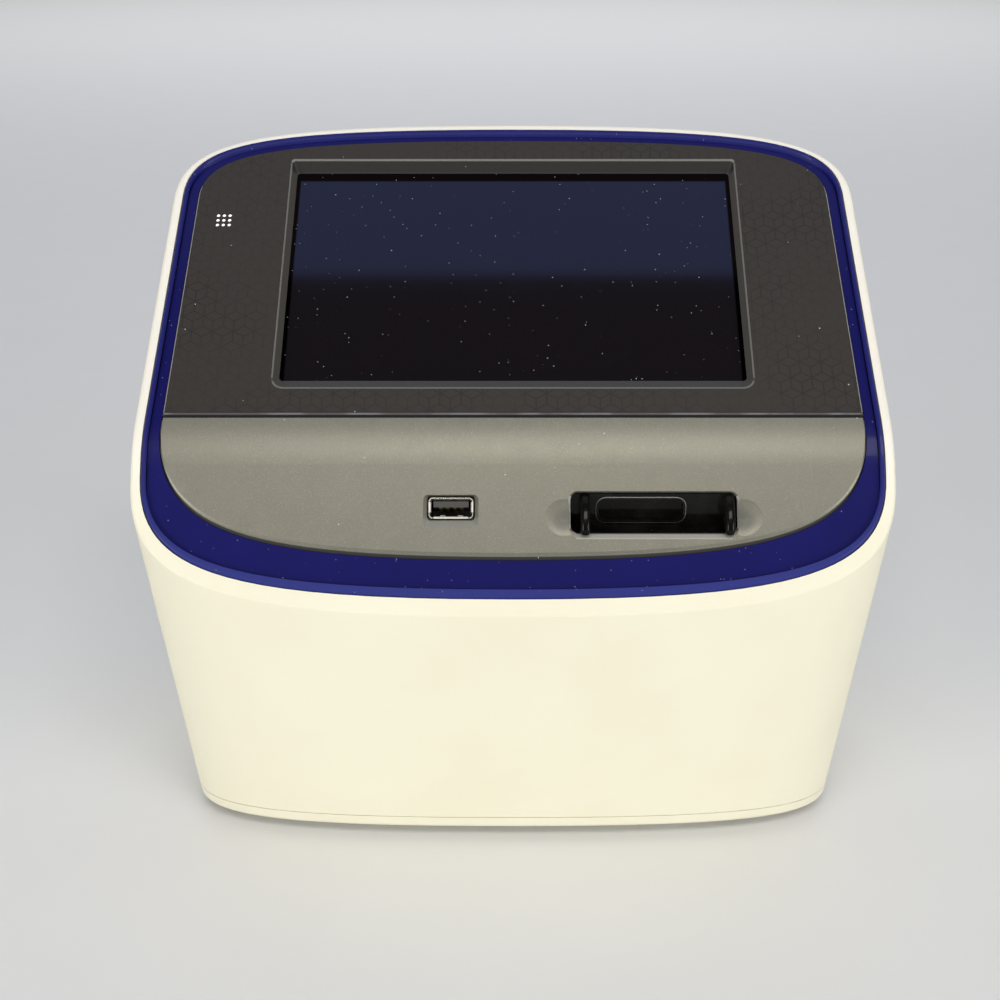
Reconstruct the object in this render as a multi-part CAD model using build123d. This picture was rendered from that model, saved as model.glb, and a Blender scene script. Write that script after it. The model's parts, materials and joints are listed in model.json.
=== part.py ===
from build123d import *
import math
import os

os.makedirs("parts", exist_ok=True)

# A bench-top automated cell counter. Millimetres and degrees.
# X runs to the right, -Y faces the user, +Z is up. Z = 0 is the bench under the feet.

# ---------------------------------------------------------------- housing form
FOOT_HEIGHT = 5.0             # free height of a rubber foot, and the housing's lowest level
BASE_HALF_WIDTH = 114.0       # half width of the housing at its lower edge
SIDE_SPREAD = 0.0508          # how far each side spreads for each mm of height
SIDE_TAPER = 0.066            # how far each side closes in for each mm towards the rear
BASE_FRONT_Y = -55.24         # front wall at the lower edge
FRONT_LEAN = 0.153            # how far the front wall leans out for each mm of height
BASE_REAR_Y = 69.66           # rear wall at the lower edge
REAR_LEAN = 0.0311            # how far the rear wall leans in for each mm of height
FRONT_CORNER_DEPTH = 29.0     # front corners: a quarter of a squared-off ellipse
REAR_CORNER_DEPTH = 27.0
CORNER_FULLNESS = 0.784       # handle length of that curve, as a share of its half axes
LOFT_BOTTOM_Z = -5.0          # the walls are straight from here ...
LOFT_TOP_Z = 240.0            # ... to here, and are then cut to height

# ---------------------------------------------------------------- sloping face
KNEE_Y = -39.94               # where the two slopes of the face would meet
KNEE_Z = 145.9
LOWER_SLOPE = 57.5            # steep strip in front, from the horizontal
UPPER_SLOPE = 38.2            # display slope
KNEE_RADIUS = 45.0

# ---------------------------------------------------------------- walls and seams
WALL = 3.4                    # housing wall, and the white rim round the face
RIM_ROUND = 1.6               # rounding of the rim's outer edge
SEAM_Z = 10.0                 # seam between the housing and the bottom cover
SEAM_GAP = 0.3
FLOOR = 2.5                   # floor of the bottom cover
BOTTOM_ROUND = 2.0
TONGUE = 2.0                  # lip of the bottom cover inside the housing wall
TONGUE_HEIGHT = 4.0
FIT = 0.15                    # clearance between parts that seat on each other
SEAT = 0.05                   # clearance between faces that lie on each other

# ---------------------------------------------------------------- trim ring
RING_GAP = 0.35               # dark line between the white rim and the ring
BEAD_WIDTH = 1.6              # raised outer bead
BEAD_RISE = 0.45
BEAD_ROUND = 0.4
BAND_DEPTH = 0.9              # the ring's band lies this far under the rim
TRIM_SIDE = 5.2               # plan width of the ring at the sides, front and rear
TRIM_FRONT = 7.3
TRIM_REAR = 3.6
LEDGE = 3.5                   # how far the ring reaches under the panels
LEDGE_THICK = 1.6
RING_SHELF = 3.0              # shelf inside the housing that carries the ring
SHELF_THICK = 2.0
OPENING_FRONT_CORNER = 23.0
OPENING_REAR_CORNER = 20.0

# ---------------------------------------------------------------- face panels
PANEL = 2.8                   # thickness of both panels
PANEL_GAP = 0.3
FACING = 0.3                  # a face that looks up by at least this much is on the slope
PANEL_CHAMFER = 0.4
PANEL_SEAM_Y = -33.14         # straight seam between the two panels
PANEL_SEAM_GAP = 0.3

# ---------------------------------------------------------------- display
DISPLAY_S = 66.1              # centre of the display, up the slope from the knee
VIEW_WIDTH = 152.0            # visible glass
VIEW_HEIGHT = 85.4
RECESS_SIDE = 1.8             # how much wider the recess is at the surface
RECESS_LOW = 4.3
RECESS_HIGH = 3.9
RECESS_LOW_CORNER = 4.0       # the recess's corners are rounder at its lower edge
RECESS_HIGH_CORNER = 1.3
RECESS_EDGE = 0.3
VIEW_CORNER = 1.2
GLASS = 1.5
GLASS_SIDE_MARGIN = 6.3       # glass hidden under the panel at the sides
GLASS_END_MARGIN = 4.0        # and at the lower and upper edges
LCD = 5.5
LCD_MARGIN = 0.5
TRAY_WALL = 1.0
TRAY_ROOM = 0.5
BOARD = 1.6                   # every circuit board's thickness
BOARD_STANDOFF = 5.0
MAINBOARD_WIDTH = 150.0
MAINBOARD_HEIGHT = 88.0
STANDOFF_RADIUS = 2.5
STANDOFF_INSET = 5.0
SINK_WIDTH = 44.0
SINK_HEIGHT = 40.0
SINK_BASE = 2.0
SINK_FIN = 7.0
SINK_FINS = 9
SINK_FIN_THICK = 1.4
CHIP_THICK = 1.4
CHIP_SIZE = 18.0
MEMORY_WIDTH = 11.0
MEMORY_LENGTH = 16.0
MEMORY_THICK = 2.0
MEMORY_DROP = 14.0            # under the board's middle
MEMORY_PLACES = (-52.0, -34.0, 36.0, 54.0)

# ---------------------------------------------------------------- indicator
INDICATOR_INSET = 14.55       # in from the housing's half width at its lower edge
INDICATOR_S = 86.3
INDICATOR_PITCH = 2.0
INDICATOR_COUNT = 3
INDICATOR_HOLE = 0.72         # radius
INDICATOR_CLEAR = 0.08
INDICATOR_SUNK = 0.15
INDICATOR_BLOCK = 10.0
INDICATOR_BLOCK_THICK = 2.5
INDICATOR_BOARD_MARGIN = 2.0

# ---------------------------------------------------------------- front USB socket
USB_X = -19.5
USB_S = -21.5                 # middle of the socket, down the slope from the knee
USB_WIDTH = 13.1              # folded metal shell, outside
USB_HEIGHT = 5.7
USB_SHEET = 0.3
USB_LENGTH = 14.0
USB_FOLD = 0.8                # outer bend radius of the sheet
USB_FLARE = 0.45              # how far the mouth flares out on each side
USB_FLARE_LENGTH = 0.9
USB_FINGER_X = 2.8            # two sprung fingers on the lower wall, either side of the middle
USB_FINGER_WIDTH = 1.6
USB_FINGER_LENGTH = 3.0
USB_FINGER_RISE = 0.9
USB_FINGER_SUNK = 5.0         # how far the fingers lie behind the mouth
USB_SUNK = 1.6                # depth of the pocket's sloping walls
USB_PROUD = 0.6               # how far the mouth stands out of the pocket's floor
USB_POCKET_WIDTH = 17.4
USB_POCKET_HEIGHT = 10.4
USB_POCKET_CORNER = 1.6
USB_POCKET_DROP = 1.1         # the pocket reaches further down than up
USB_HOLE_WIDTH = 14.9
USB_HOLE_HEIGHT = 7.7
USB_HOLE_CORNER = 1.0
USB_TONGUE_WIDTH = 11.1
USB_TONGUE_THICK = 1.84
USB_TONGUE_SHIFT = 1.3        # tongue lies above the middle
USB_BLOCK_LENGTH = 3.0        # plastic block that closes the shell at the back
USB_TONGUE_SUNK = 1.0
USB_CONTACT_WIDTH = 1.0
USB_CONTACT_PITCH = 2.25
USB_CONTACTS = 4
USB_CONTACT_THICK = 0.25
USB_CONTACT_SUNK = 1.0        # behind the tongue's end
USB_BOARD_WIDTH = 22.0
USB_BOARD_LENGTH = 24.0
USB_SHELF = 3.0               # shelf on the back of the panel that carries the board
USB_SHELF_REACH = 8.0

# ---------------------------------------------------------------- slide port
PORT_INSET = 69.85            # middle of the port, in from the housing's half width
PORT_WIDTH = 52.3
PORT_LOW_Y = -56.14           # lower edge of the port on the sloping face
PORT_HEIGHT = 11.15           # level height of the opening
PORT_CORNER = 2.3
PORT_LIP = 1.2                # thickness of the panel's lip round the port
PORT_WALL = 1.5
PORT_DEPTH = 8.1              # from the lower edge back to the window plate
PORT_CHAMFER = 0.7
PLATE = 1.5                   # window plate
DIMPLE_RADIUS = 34.0
DIMPLE_DEPTH = 0.5
DIMPLE_REACH = 2.0
SLIDE_OFFSET = 3.75           # the counting slide runs in along +Y, left of the port's middle
SLIDE_WIDTH = 25.4
WINDOW_WIDTH = 26.8
WINDOW_HEIGHT = 7.3
WINDOW_Z = 125.45
WINDOW_CORNER = 2.4
WINDOW_RIM = 0.9
WINDOW_RIM_RISE = 0.5
WINDOW_RIM_EDGE = 0.25
CHEEK_THICK = 3.1
CHEEK_LEFT = 21.55            # each guide cheek from the port's middle
CHEEK_RIGHT = 23.55
CHEEK_NOSE = 2.1              # radius of the cheek's front end
CHEEK_REACH = 1.9             # how far the nose stands out past the port's lower edge
CHEEK_ROUND = 1.3             # rounding of the nose across the cheek's thickness
CHEEK_TOP_GAP = 0.6           # between the cheek and the port's upper wall

# ---------------------------------------------------------------- light flap
FLAP = 1.0
FLAP_PIN_RADIUS = 0.8
FLAP_PIN_CLEAR = 0.06
FLAP_KNUCKLE = 1.5
FLAP_PIN_Y = -44.84
FLAP_PIN_Z = 129.9
FLAP_GAP = 0.25               # behind the window plate
FLAP_OVERLAP = 0.6
FLAP_EAR = 2.0
FLAP_SIDE_GAP = 0.25

# ---------------------------------------------------------------- optics
OPTIC_Y = -28.0               # the optical axis stands at SLIDE_X, OPTIC_Y
STAGE_THICK = 3.0
STAGE_TOP = 122.0
RAIL_WIDTH = 3.0
RAIL_HEIGHT = 4.2
STAGE_ROOM = 0.6              # between the stage and the path of the light flap
STAGE_REAR_Y = 6.0
STAGE_BORE = 7.0
STAGE_MOUNT_X = 11.0          # stage screws, either side of the slide's middle
STAGE_SCREW_DEPTH = 8.0
CARRIAGE_CLEAR = 0.2
CARRIAGE_FLOOR = 0.8
CARRIAGE_WALL = 1.0
CARRIAGE_FRONT_Y = -33.0
CARRIAGE_REAR_Y = -6.0
CARRIAGE_BORE = 5.5
STOP_THICK = 2.0
STOP_HEIGHT = 8.0
SPRING_COIL = 2.3
SPRING_WIRE = 0.5
SPRING_TURNS = 6
SPRING_PIN_LENGTH = 3.0

TOWER_FRONT_Y = 2.0
TOWER_DEPTH = 10.0
TOWER_WIDTH = 30.0
TOWER_WEB = 4.0
TOWER_FOOT = 3.0
TOWER_FOOT_SIDE = 4.0         # how far the foot reaches past the tower
TOWER_FOOT_REAR = 8.0
TOWER_HOLE = 6.0              # radius of the lightening holes
TOWER_HOLES = (30.0, 50.0, 70.0)
FLANGE_Z = 80.0
FLANGE_THICK = 3.0

LAMP_BOTTOM_Z = 129.0
LAMP_RADIUS = 9.0
LAMP_HEIGHT = 9.0
LENS_RADIUS = 6.5
LENS_THICK = 3.0
LAMP_ARM = 4.0
LAMP_ARM_GAP = 2.0            # under the arm
LAMP_LIP = 1.5                # lip that holds the condenser lens
LED_SIDE = 3.0
LED_THICK = 1.2

GUIDE_WIDTH = 7.0
GUIDE_GROOVE = 1.75           # radius of the running grooves
GUIDE_DEPTH = 5.0
GUIDE_BOTTOM_Z = 86.0
GUIDE_TOP_Z = 117.0
FOCUS_BLOCK_WIDTH = 21.0
FOCUS_BLOCK_DEPTH = 9.0
FOCUS_BLOCK_BOTTOM_Z = 93.0
FOCUS_BLOCK_HEIGHT = 14.0
FOCUS_TRAVEL = 1.5
BARREL_RADIUS = 10.0
BARREL_BOTTOM_Z = 90.0
BARREL_TOP_Z = 110.0
NOSE_RADIUS = 6.0
NOSE_TOP_Z = 116.0
NOSE_WALL = 1.5
FRONT_LENS_THICK = 3.0
FRONT_LENS_SUNK = 0.5
GRIP_RINGS = 4                # grooves round the objective's barrel
GRIP_PITCH = 1.0
GRIP_WIDTH = 0.4
GRIP_DEPTH = 0.3
CLAMP_WALL = 3.0
CLAMP_HEIGHT = 10.0
BLOCK_GAP = 1.5               # between the focus block and the tower
LUG_GAP = 2.0                 # between the nut's lug and the tower, more than the block's
RUNNING = 0.08                # radial clearance of screws and rods in their nuts and bushes

MOTOR = 16.0
MOTOR_LENGTH = 26.0
MOTOR_CHAMFER = 2.0
MOTOR_GROOVE = 0.6
MOTOR_GROOVE_DEPTH = 0.4
SCREW_RADIUS = 2.0
COUPLER_RADIUS = 4.0
COUPLER_LENGTH = 8.0
COUPLER_SLOT = 0.8
COUPLER_SLOT_DEPTH = 1.0
FOCUS_SCREW_OFFSET = 23.6     # right of the slide's middle
FOCUS_SCREW_Y = 1.0

# ---------------------------------------------------------------- light-cube shuttle
CUBE_PITCH = 24.0
CUBE_WIDTH = 22.0
CUBE_DEPTH = 26.0
CUBE_HEIGHT = 27.0
CUBE_BORE = 8.0
SHUTTLE_POSITIONS = 3
SHUTTLE_Z = 54.0
SHUTTLE_THICK = 4.0
ROD_RADIUS = 2.0
ROD_Z = 50.0
ROD_SPREAD = 12.0             # each rod from the optical axis
BUSH_HALF = 4.0
ROD_LEFT = 74.4               # left end of the rods, left of the slide's middle
ROD_END_ROOM = 0.8            # room between the shuttle at its right stop and the bracket
BRACKET_THICK = 3.0
BRACKET_LEG_RISE = 8.0        # height at which a bracket's arm leaves its leg
BRACKET_LEG_SETBACK = 6.0     # the leg's front, behind the front rod
BRACKET_FOOT = 6.0            # reach and thickness of a bracket's foot
BRACKET_FOOT_THICK = 2.0
MOTOR_BRACKET_LEG = 8.0
MOTOR_BRACKET_FOOT = 10.0
MOTOR_BRACKET_FOOT_WIDTH = 4.0
SHUTTLE_SCREW_Y = -48.0
SHUTTLE_SCREW_Z = 56.0
SHUTTLE_SCREW_RIGHT = 7.6     # bearing, right of the slide's middle
NUT_LENGTH = 10.0
NUT_HALF = 3.6
TUBE_RADIUS = 12.0
TUBE_TOP_Z = 44.0
TUBE_WALL = 3.0
TUBE_FLANGE = 3.0             # reach and thickness
TUBE_GLASS_THICK = 4.0
TUBE_GLASS_SUNK = 2.0
CUBE_CHAMFER = 1.0
SPLITTER_THICK = 1.0
CAMERA_SIDE = 44.0
CAMERA_TOP_Z = 22.0
CAMERA_WALL = 2.0
CAMERA_CORNER = 3.0
SENSOR_SIDE = 12.0
SENSOR_THICK = 1.2

# ---------------------------------------------------------------- base, feet, rear
CHASSIS = 2.0
CHASSIS_Z = 12.0
CHASSIS_INSET = 7.0
BOSS_RADIUS = 4.5
POST_FRONT_INSET = 36.0       # front posts, in from the half width at the lower edge
POST_FRONT_BACK = 13.24       # and back from the front wall
POST_REAR_INSET = 13.0        # rear posts, in from the flanks
POST_REAR_AHEAD = 31.66       # and ahead of the rear wall
POST_HEIGHT = 34.0
POST_WEB = 2.4
PILOT_RADIUS = 1.25
SHANK_RADIUS = 1.2
SHANK_LENGTH = 13.0
HEAD_RADIUS = 2.8
HEAD_HEIGHT = 1.8
SOCKET_SIDES = 6
HEAD_SUNK = 0.3
FOOT_RADIUS = 8.0
FOOT_INSET = 23.0             # feet, in from the half width at the lower edge
FOOT_BACK = 26.24             # front feet, back from the front wall
FOOT_AHEAD = 21.66            # rear feet, ahead of the rear wall
FOOT_SOCKET = 1.0
FOOT_CHAMFER = 0.8
FLOOR_SLOTS = 9
FLOOR_SLOT_PITCH = 7.0
FLOOR_SLOT_WIDTH = 3.0
FLOOR_SLOT_LENGTH = 34.0
FLOOR_SLOT_Y = 12.0
PLATE_SLOT_X = -50.0          # middle of the chassis plate's slots
PLATE_SLOT_LENGTH = 42.0
PLATE_SLOT_Y = 9.0
REAR_SLOTS = 11
REAR_SLOT_PITCH = 7.0
REAR_SLOT_WIDTH = 2.6
REAR_SLOT_HEIGHT = 30.0
REAR_SLOT_Z = 168.0

DOOR_WIDTH = 74.0
DOOR_HEIGHT = 48.0
DOOR_Z = 72.0
DOOR_THICK = 1.8
DOOR_GAP = 0.35
DOOR_FLANGE = 8.0
DOOR_SCREW_INSET = 4.0

WELL_INSET = 59.0             # middle of the well, in from the half width at the lower edge
WELL_Z = 38.0
WELL_WIDTH = 58.0
WELL_HEIGHT = 30.0
WELL_DEPTH = 4.26             # from the rear wall at the lower edge
WELL_FLOOR = 3.0
WELL_MARGIN = 3.0
ROCKER_OFFSET = 11.0          # left of the well's middle
ROCKER_WIDTH = 10.0
ROCKER_HEIGHT = 17.0
ROCKER_CLEAR = 0.35
ROCKER_FRAME = 1.6
ROCKER_BODY_DEPTH = 16.0
ROCKER_POCKET = 8.0
ROCKER_LIP = 1.2              # reach of the frame's lip over the well's floor
ROCKER_LIP_THICK = 1.45
ROCKER_SIDE_GAP = 0.4         # between the rocker and its pocket, on each side
ROCKER_SWING = 14.0
ROCKER_PIVOT_SUNK = 2.5       # the pivot lies this far under the well's floor
ROCKER_FACE = 4.4             # from the pivot to the ridge of the face
ROCKER_BACK = 2.2
ROCKER_SHOULDER = 0.8
ROCKER_PIN_RADIUS = 0.9
ROCKER_PIN_CLEAR = 0.06
ROCKER_PIN_REACH = 1.1        # into the frame's wall
TAB_THICK = 0.8               # two solder tabs on the switch's back
TAB_WIDTH = 4.8
TAB_LENGTH = 6.0
TAB_X = 2.5
JACK_OFFSET = 15.0            # right of the well's middle
JACK_BORE = 3.2
JACK_PIN = 1.0
JACK_BODY = 11.0
JACK_LENGTH = 13.0
JACK_BACK_WALL = 3.0
JACK_PIN_SUNK = 1.5           # end of the pin, under the well's floor
JACK_PROUD = 0.4
POWER_BOARD_WIDTH = 52.0
POWER_BOARD_DEPTH = 30.0
POST_INSET = 4.0              # posts under the power board, in from its edges

# ---------------------------------------------------------------- places that follow the housing's width
INDICATOR_X = INDICATOR_INSET - BASE_HALF_WIDTH
PORT_X = BASE_HALF_WIDTH - PORT_INSET
SLIDE_X = PORT_X - SLIDE_OFFSET
CHEEK_PLACES = (PORT_X - CHEEK_LEFT, PORT_X + CHEEK_RIGHT)
FOCUS_SCREW_X = SLIDE_X + FOCUS_SCREW_OFFSET
ROD_LEFT_X = SLIDE_X - ROD_LEFT
SHUTTLE_SCREW_RIGHT_X = SLIDE_X + SHUTTLE_SCREW_RIGHT
POST_FRONT_X = BASE_HALF_WIDTH - POST_FRONT_INSET
POST_FRONT_Y = BASE_FRONT_Y + POST_FRONT_BACK
POST_REAR_Y = BASE_REAR_Y - POST_REAR_AHEAD
FOOT_X = BASE_HALF_WIDTH - FOOT_INSET
FOOT_FRONT_Y = BASE_FRONT_Y + FOOT_BACK
FOOT_REAR_Y = BASE_REAR_Y - FOOT_AHEAD
WELL_X = WELL_INSET - BASE_HALF_WIDTH
WELL_FLOOR_Y = BASE_REAR_Y - WELL_DEPTH
ROCKER_X = WELL_X - ROCKER_OFFSET
ROCKER_PIVOT_Y = WELL_FLOOR_Y - ROCKER_PIVOT_SUNK
JACK_X = WELL_X + JACK_OFFSET


# ================================================================ helpers
def slope_normal(angle):
    """Outward normal, in the YZ plane, of a face that rises rearwards at this angle."""
    return Vector(-math.sin(math.radians(angle)), math.cos(math.radians(angle)))


def slope_along(angle):
    """Direction up a face that rises rearwards at this angle, in the YZ plane."""
    return Vector(math.cos(math.radians(angle)), math.sin(math.radians(angle)))


def knee_at(depth):
    """The knee of the face, moved in by a depth measured square to both slopes."""
    lower = slope_normal(LOWER_SLOPE)
    upper = slope_normal(UPPER_SLOPE)
    return Vector(KNEE_Y, KNEE_Z) - (lower + upper) * (depth / (1 + lower.dot(upper)))


def lower_face_z(y):
    return KNEE_Z + (y - KNEE_Y) * math.tan(math.radians(LOWER_SLOPE))


def upper_face_z(y):
    return KNEE_Z + (y - KNEE_Y) * math.tan(math.radians(UPPER_SLOPE))


def front_y(z):
    return BASE_FRONT_Y - FRONT_LEAN * (z - FOOT_HEIGHT)


def rear_y(z):
    return BASE_REAR_Y - REAR_LEAN * (z - FOOT_HEIGHT)


def half_width(y, z):
    """Half width of the housing on its straight flank."""
    widest = BASE_HALF_WIDTH + SIDE_SPREAD * (z - FOOT_HEIGHT)
    return widest - SIDE_TAPER * (y - front_y(z) - FRONT_CORNER_DEPTH)


def plan_wire(z, front, rear, front_corner, rear_corner, side_front, side_rear):
    """Closed outline with squared-off elliptical corners and flanks that close in rearwards."""
    start = front + front_corner
    end = rear - rear_corner
    lean = (side_front - side_rear) / (end - start)
    front_handle = CORNER_FULLNESS * front_corner
    rear_handle = CORNER_FULLNESS * rear_corner
    nose = [
        (0, front),
        (CORNER_FULLNESS * side_front, front),
        (side_front + lean * front_handle, start - front_handle),
        (side_front, start),
    ]
    tail = [
        (side_rear, end),
        (side_rear - lean * rear_handle, end + rear_handle),
        (CORNER_FULLNESS * side_rear, rear),
        (0, rear),
    ]

    def at(point, side):
        return Vector(side * point[0], point[1], z)

    return Wire([
        Bezier(*[at(p, 1) for p in nose]),
        Line(at(nose[-1], 1), at(tail[0], 1)),
        Bezier(*[at(p, 1) for p in tail]),
        Bezier(*[at(p, -1) for p in reversed(tail)]),
        Line(at(tail[0], -1), at(nose[-1], -1)),
        Bezier(*[at(p, -1) for p in reversed(nose)]),
    ])


def housing_wire(z, inset):
    front = front_y(z)
    rear = rear_y(z)
    start = front + FRONT_CORNER_DEPTH
    end = rear - REAR_CORNER_DEPTH
    return plan_wire(
        z,
        front + inset,
        rear - inset,
        FRONT_CORNER_DEPTH - inset,
        REAR_CORNER_DEPTH - inset,
        half_width(start, z) - inset,
        half_width(end, z) - inset,
    )


def housing_core(inset):
    """Everything inside the housing's walls, moved in by an inset."""
    wires = [housing_wire(LOFT_BOTTOM_Z, inset), housing_wire(LOFT_TOP_Z, inset)]
    return Part() + Solid.make_loft(wires, ruled=True)


def slab(low, high):
    """All space between two heights."""
    reach = 4 * BASE_HALF_WIDTH
    return Pos(0, 0, (low + high) / 2) * Box(reach, reach, high - low)


def under_face(depth):
    """All space that lies deeper than this under the sloping face."""
    knee = knee_at(depth)
    reach = 2 * BASE_HALF_WIDTH
    front = knee - slope_along(LOWER_SLOPE) * reach
    back = knee + slope_along(UPPER_SLOPE) * reach
    floor = front.Y - reach
    corners = [front, knee, back, Vector(back.X, floor), Vector(front.X, floor)]
    outline = make_face(Polyline(*[(c.X, c.Y) for c in corners], close=True))
    bend = outline.vertices().sort_by_distance(Vector(knee.X, knee.Y, 0))[0]
    outline = fillet(bend, KNEE_RADIUS - depth)
    return extrude(Plane.YZ * outline, amount=2 * BASE_HALF_WIDTH, both=True)


def face_layer(top, bottom):
    """A layer that follows the face, between two depths."""
    return under_face(top) - under_face(bottom)


def box_between(x0, x1, y0, y1, z0, z1):
    return Pos((x0 + x1) / 2, (y0 + y1) / 2, (z0 + z1) / 2) * Box(x1 - x0, y1 - y0, z1 - z0)


def rod_x(x0, x1, y, z, radius):
    return Pos((x0 + x1) / 2, y, z) * Rot(0, 90, 0) * Cylinder(radius, x1 - x0)


def rod_y(x, y0, y1, z, radius):
    return Pos(x, (y0 + y1) / 2, z) * Rot(90, 0, 0) * Cylinder(radius, y1 - y0)


def rod_z(x, y, z0, z1, radius):
    return Pos(x, y, (z0 + z1) / 2) * Cylinder(radius, z1 - z0)


# Planes of the two slopes: local X is the width, local Y runs up the slope from the knee
# and local Z points out of the face.
def slope_plane(angle):
    normal = slope_normal(angle)
    return Plane(origin=(0, KNEE_Y, KNEE_Z), x_dir=(1, 0, 0), z_dir=(0, normal.X, normal.Y))


UPPER = slope_plane(UPPER_SLOPE)
LOWER = slope_plane(LOWER_SLOPE)


def on_slope(plane, x, s, n, shape):
    """Puts a shape at a place on a slope, turned square to it."""
    return plane.location * Pos(x, s, n) * shape


def rounded_outline(half_width, low, high, low_corner, high_corner):
    """A rectangle whose lower and upper corners have their own radius."""
    sketch = Pos(0, (low + high) / 2) * Rectangle(2 * half_width, high - low)
    rows = sketch.vertices().group_by(Axis.Y)
    sketch = fillet(rows[0], low_corner)
    return fillet(sketch.vertices().group_by(Axis.Y)[-1], high_corner)


def tapered_pocket(plane, x, s, outlines):
    """A pocket whose walls lean in with depth. The outlines are (depth, sketch) pairs."""
    wires = [(plane.location * Pos(x, s, -depth) * sketch).wire() for depth, sketch in outlines]
    return Part() + Solid.make_loft(wires, ruled=True)


def recess_outline(share, edge):
    """The display recess between its floor (share 0) and its mouth (share 1)."""
    tall = VIEW_HEIGHT / 2
    return rounded_outline(
        VIEW_WIDTH / 2 + RECESS_SIDE * share + edge,
        -tall - RECESS_LOW * share - edge,
        tall + RECESS_HIGH * share + edge,
        VIEW_CORNER + (RECESS_LOW_CORNER - VIEW_CORNER) * share,
        VIEW_CORNER + (RECESS_HIGH_CORNER - VIEW_CORNER) * share,
    )


# ================================================================ places worked out from the sizes
def lip_y():
    """Where the inside of the front wall meets the lower slope."""
    rise = math.tan(math.radians(LOWER_SLOPE))
    drop = KNEE_Z - FOOT_HEIGHT - KNEE_Y * rise
    return (BASE_FRONT_Y + WALL - FRONT_LEAN * drop) / (1 + FRONT_LEAN * rise)


def crest_y():
    """Where the inside of the rear wall meets the upper slope."""
    rise = math.tan(math.radians(UPPER_SLOPE))
    drop = KNEE_Z - FOOT_HEIGHT - KNEE_Y * rise
    return (BASE_REAR_Y - WALL - REAR_LEAN * drop) / (1 + REAR_LEAN * rise)


OPENING_FRONT = lip_y() + TRIM_FRONT
OPENING_REAR = crest_y() - TRIM_REAR


def opening_side(y):
    """Half width of the opening in the trim ring."""
    return half_width(y, upper_face_z(y)) - WALL - TRIM_SIDE


def opening_prism(inset):
    """Upright prism on the plan of the opening in the trim ring, moved in by an inset."""
    wire = plan_wire(
        LOFT_BOTTOM_Z,
        OPENING_FRONT + inset,
        OPENING_REAR - inset,
        OPENING_FRONT_CORNER - inset,
        OPENING_REAR_CORNER - inset,
        opening_side(OPENING_FRONT + OPENING_FRONT_CORNER) - inset,
        opening_side(OPENING_REAR - OPENING_REAR_CORNER) - inset,
    )
    return extrude(make_face(wire), amount=LOFT_TOP_Z - LOFT_BOTTOM_Z, dir=(0, 0, 1))


LEDGE_TOP = PANEL + SEAT
LEDGE_BOTTOM = LEDGE_TOP + LEDGE_THICK
SHELF_TOP = LEDGE_BOTTOM + SEAT
POST_REAR_X = half_width(POST_REAR_Y, SEAM_Z) - POST_REAR_INSET
FRONT_POSTS = [(side * POST_FRONT_X, POST_FRONT_Y) for side in (-1, 1)]
REAR_POSTS = [(side * POST_REAR_X, POST_REAR_Y) for side in (-1, 1)]
POSTS = FRONT_POSTS + REAR_POSTS
FEET = [(side * FOOT_X, y) for side in (-1, 1) for y in (FOOT_FRONT_Y, FOOT_REAR_Y)]
FLOOR_TOP = FOOT_HEIGHT + FLOOR
CHASSIS_TOP = CHASSIS_Z + CHASSIS


# ================================================================ housing
def door_box(margin):
    half = DOOR_WIDTH / 2 + margin
    tall = DOOR_HEIGHT / 2 + margin
    return box_between(
        SLIDE_X - half, SLIDE_X + half, 0, 2 * BASE_REAR_Y, DOOR_Z - tall, DOOR_Z + tall
    )


def well_box(margin, y0, y1):
    half = WELL_WIDTH / 2 + margin
    tall = WELL_HEIGHT / 2 + margin
    return box_between(WELL_X - half, WELL_X + half, y0, y1, WELL_Z - tall, WELL_Z + tall)


def door_screw_places():
    reach = DOOR_WIDTH / 2 - DOOR_SCREW_INSET
    return [(SLIDE_X - reach, DOOR_Z), (SLIDE_X + reach, DOOR_Z)]


def rim_edges(shape):
    """The border of the faces that look up the slope, without the lines between them."""
    facing = [f for f in shape.faces() if f.normal_at(f.center()).Z > FACING]
    seen = {}
    for edge in [e for f in facing for e in f.edges()]:
        middle = edge @ 0.5
        key = (round(middle.X, 2), round(middle.Y, 2), round(middle.Z, 2))
        seen.setdefault(key, []).append(edge)
    return [found[0] for found in seen.values() if len(found) == 1]


def shell_posts():
    """Upright screw posts, each joined to the nearest wall by a web above the cover's tongue."""
    low = SEAM_Z + SEAM_GAP
    high = low + POST_HEIGHT
    web_low = SEAM_Z + TONGUE_HEIGHT + SEAM_GAP
    half = POST_WEB / 2
    reach = 2 * BASE_HALF_WIDTH
    posts = []
    for x, y in FRONT_POSTS:
        web = box_between(x - half, x + half, -reach, y, web_low, high)
        posts.append(rod_z(x, y, low, high, BOSS_RADIUS) + web)
    for x, y in REAR_POSTS:
        far = math.copysign(reach, x)
        web = box_between(min(x, far), max(x, far), y - half, y + half, web_low, high)
        posts.append(rod_z(x, y, low, high, BOSS_RADIUS) + web)
    return posts


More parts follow.
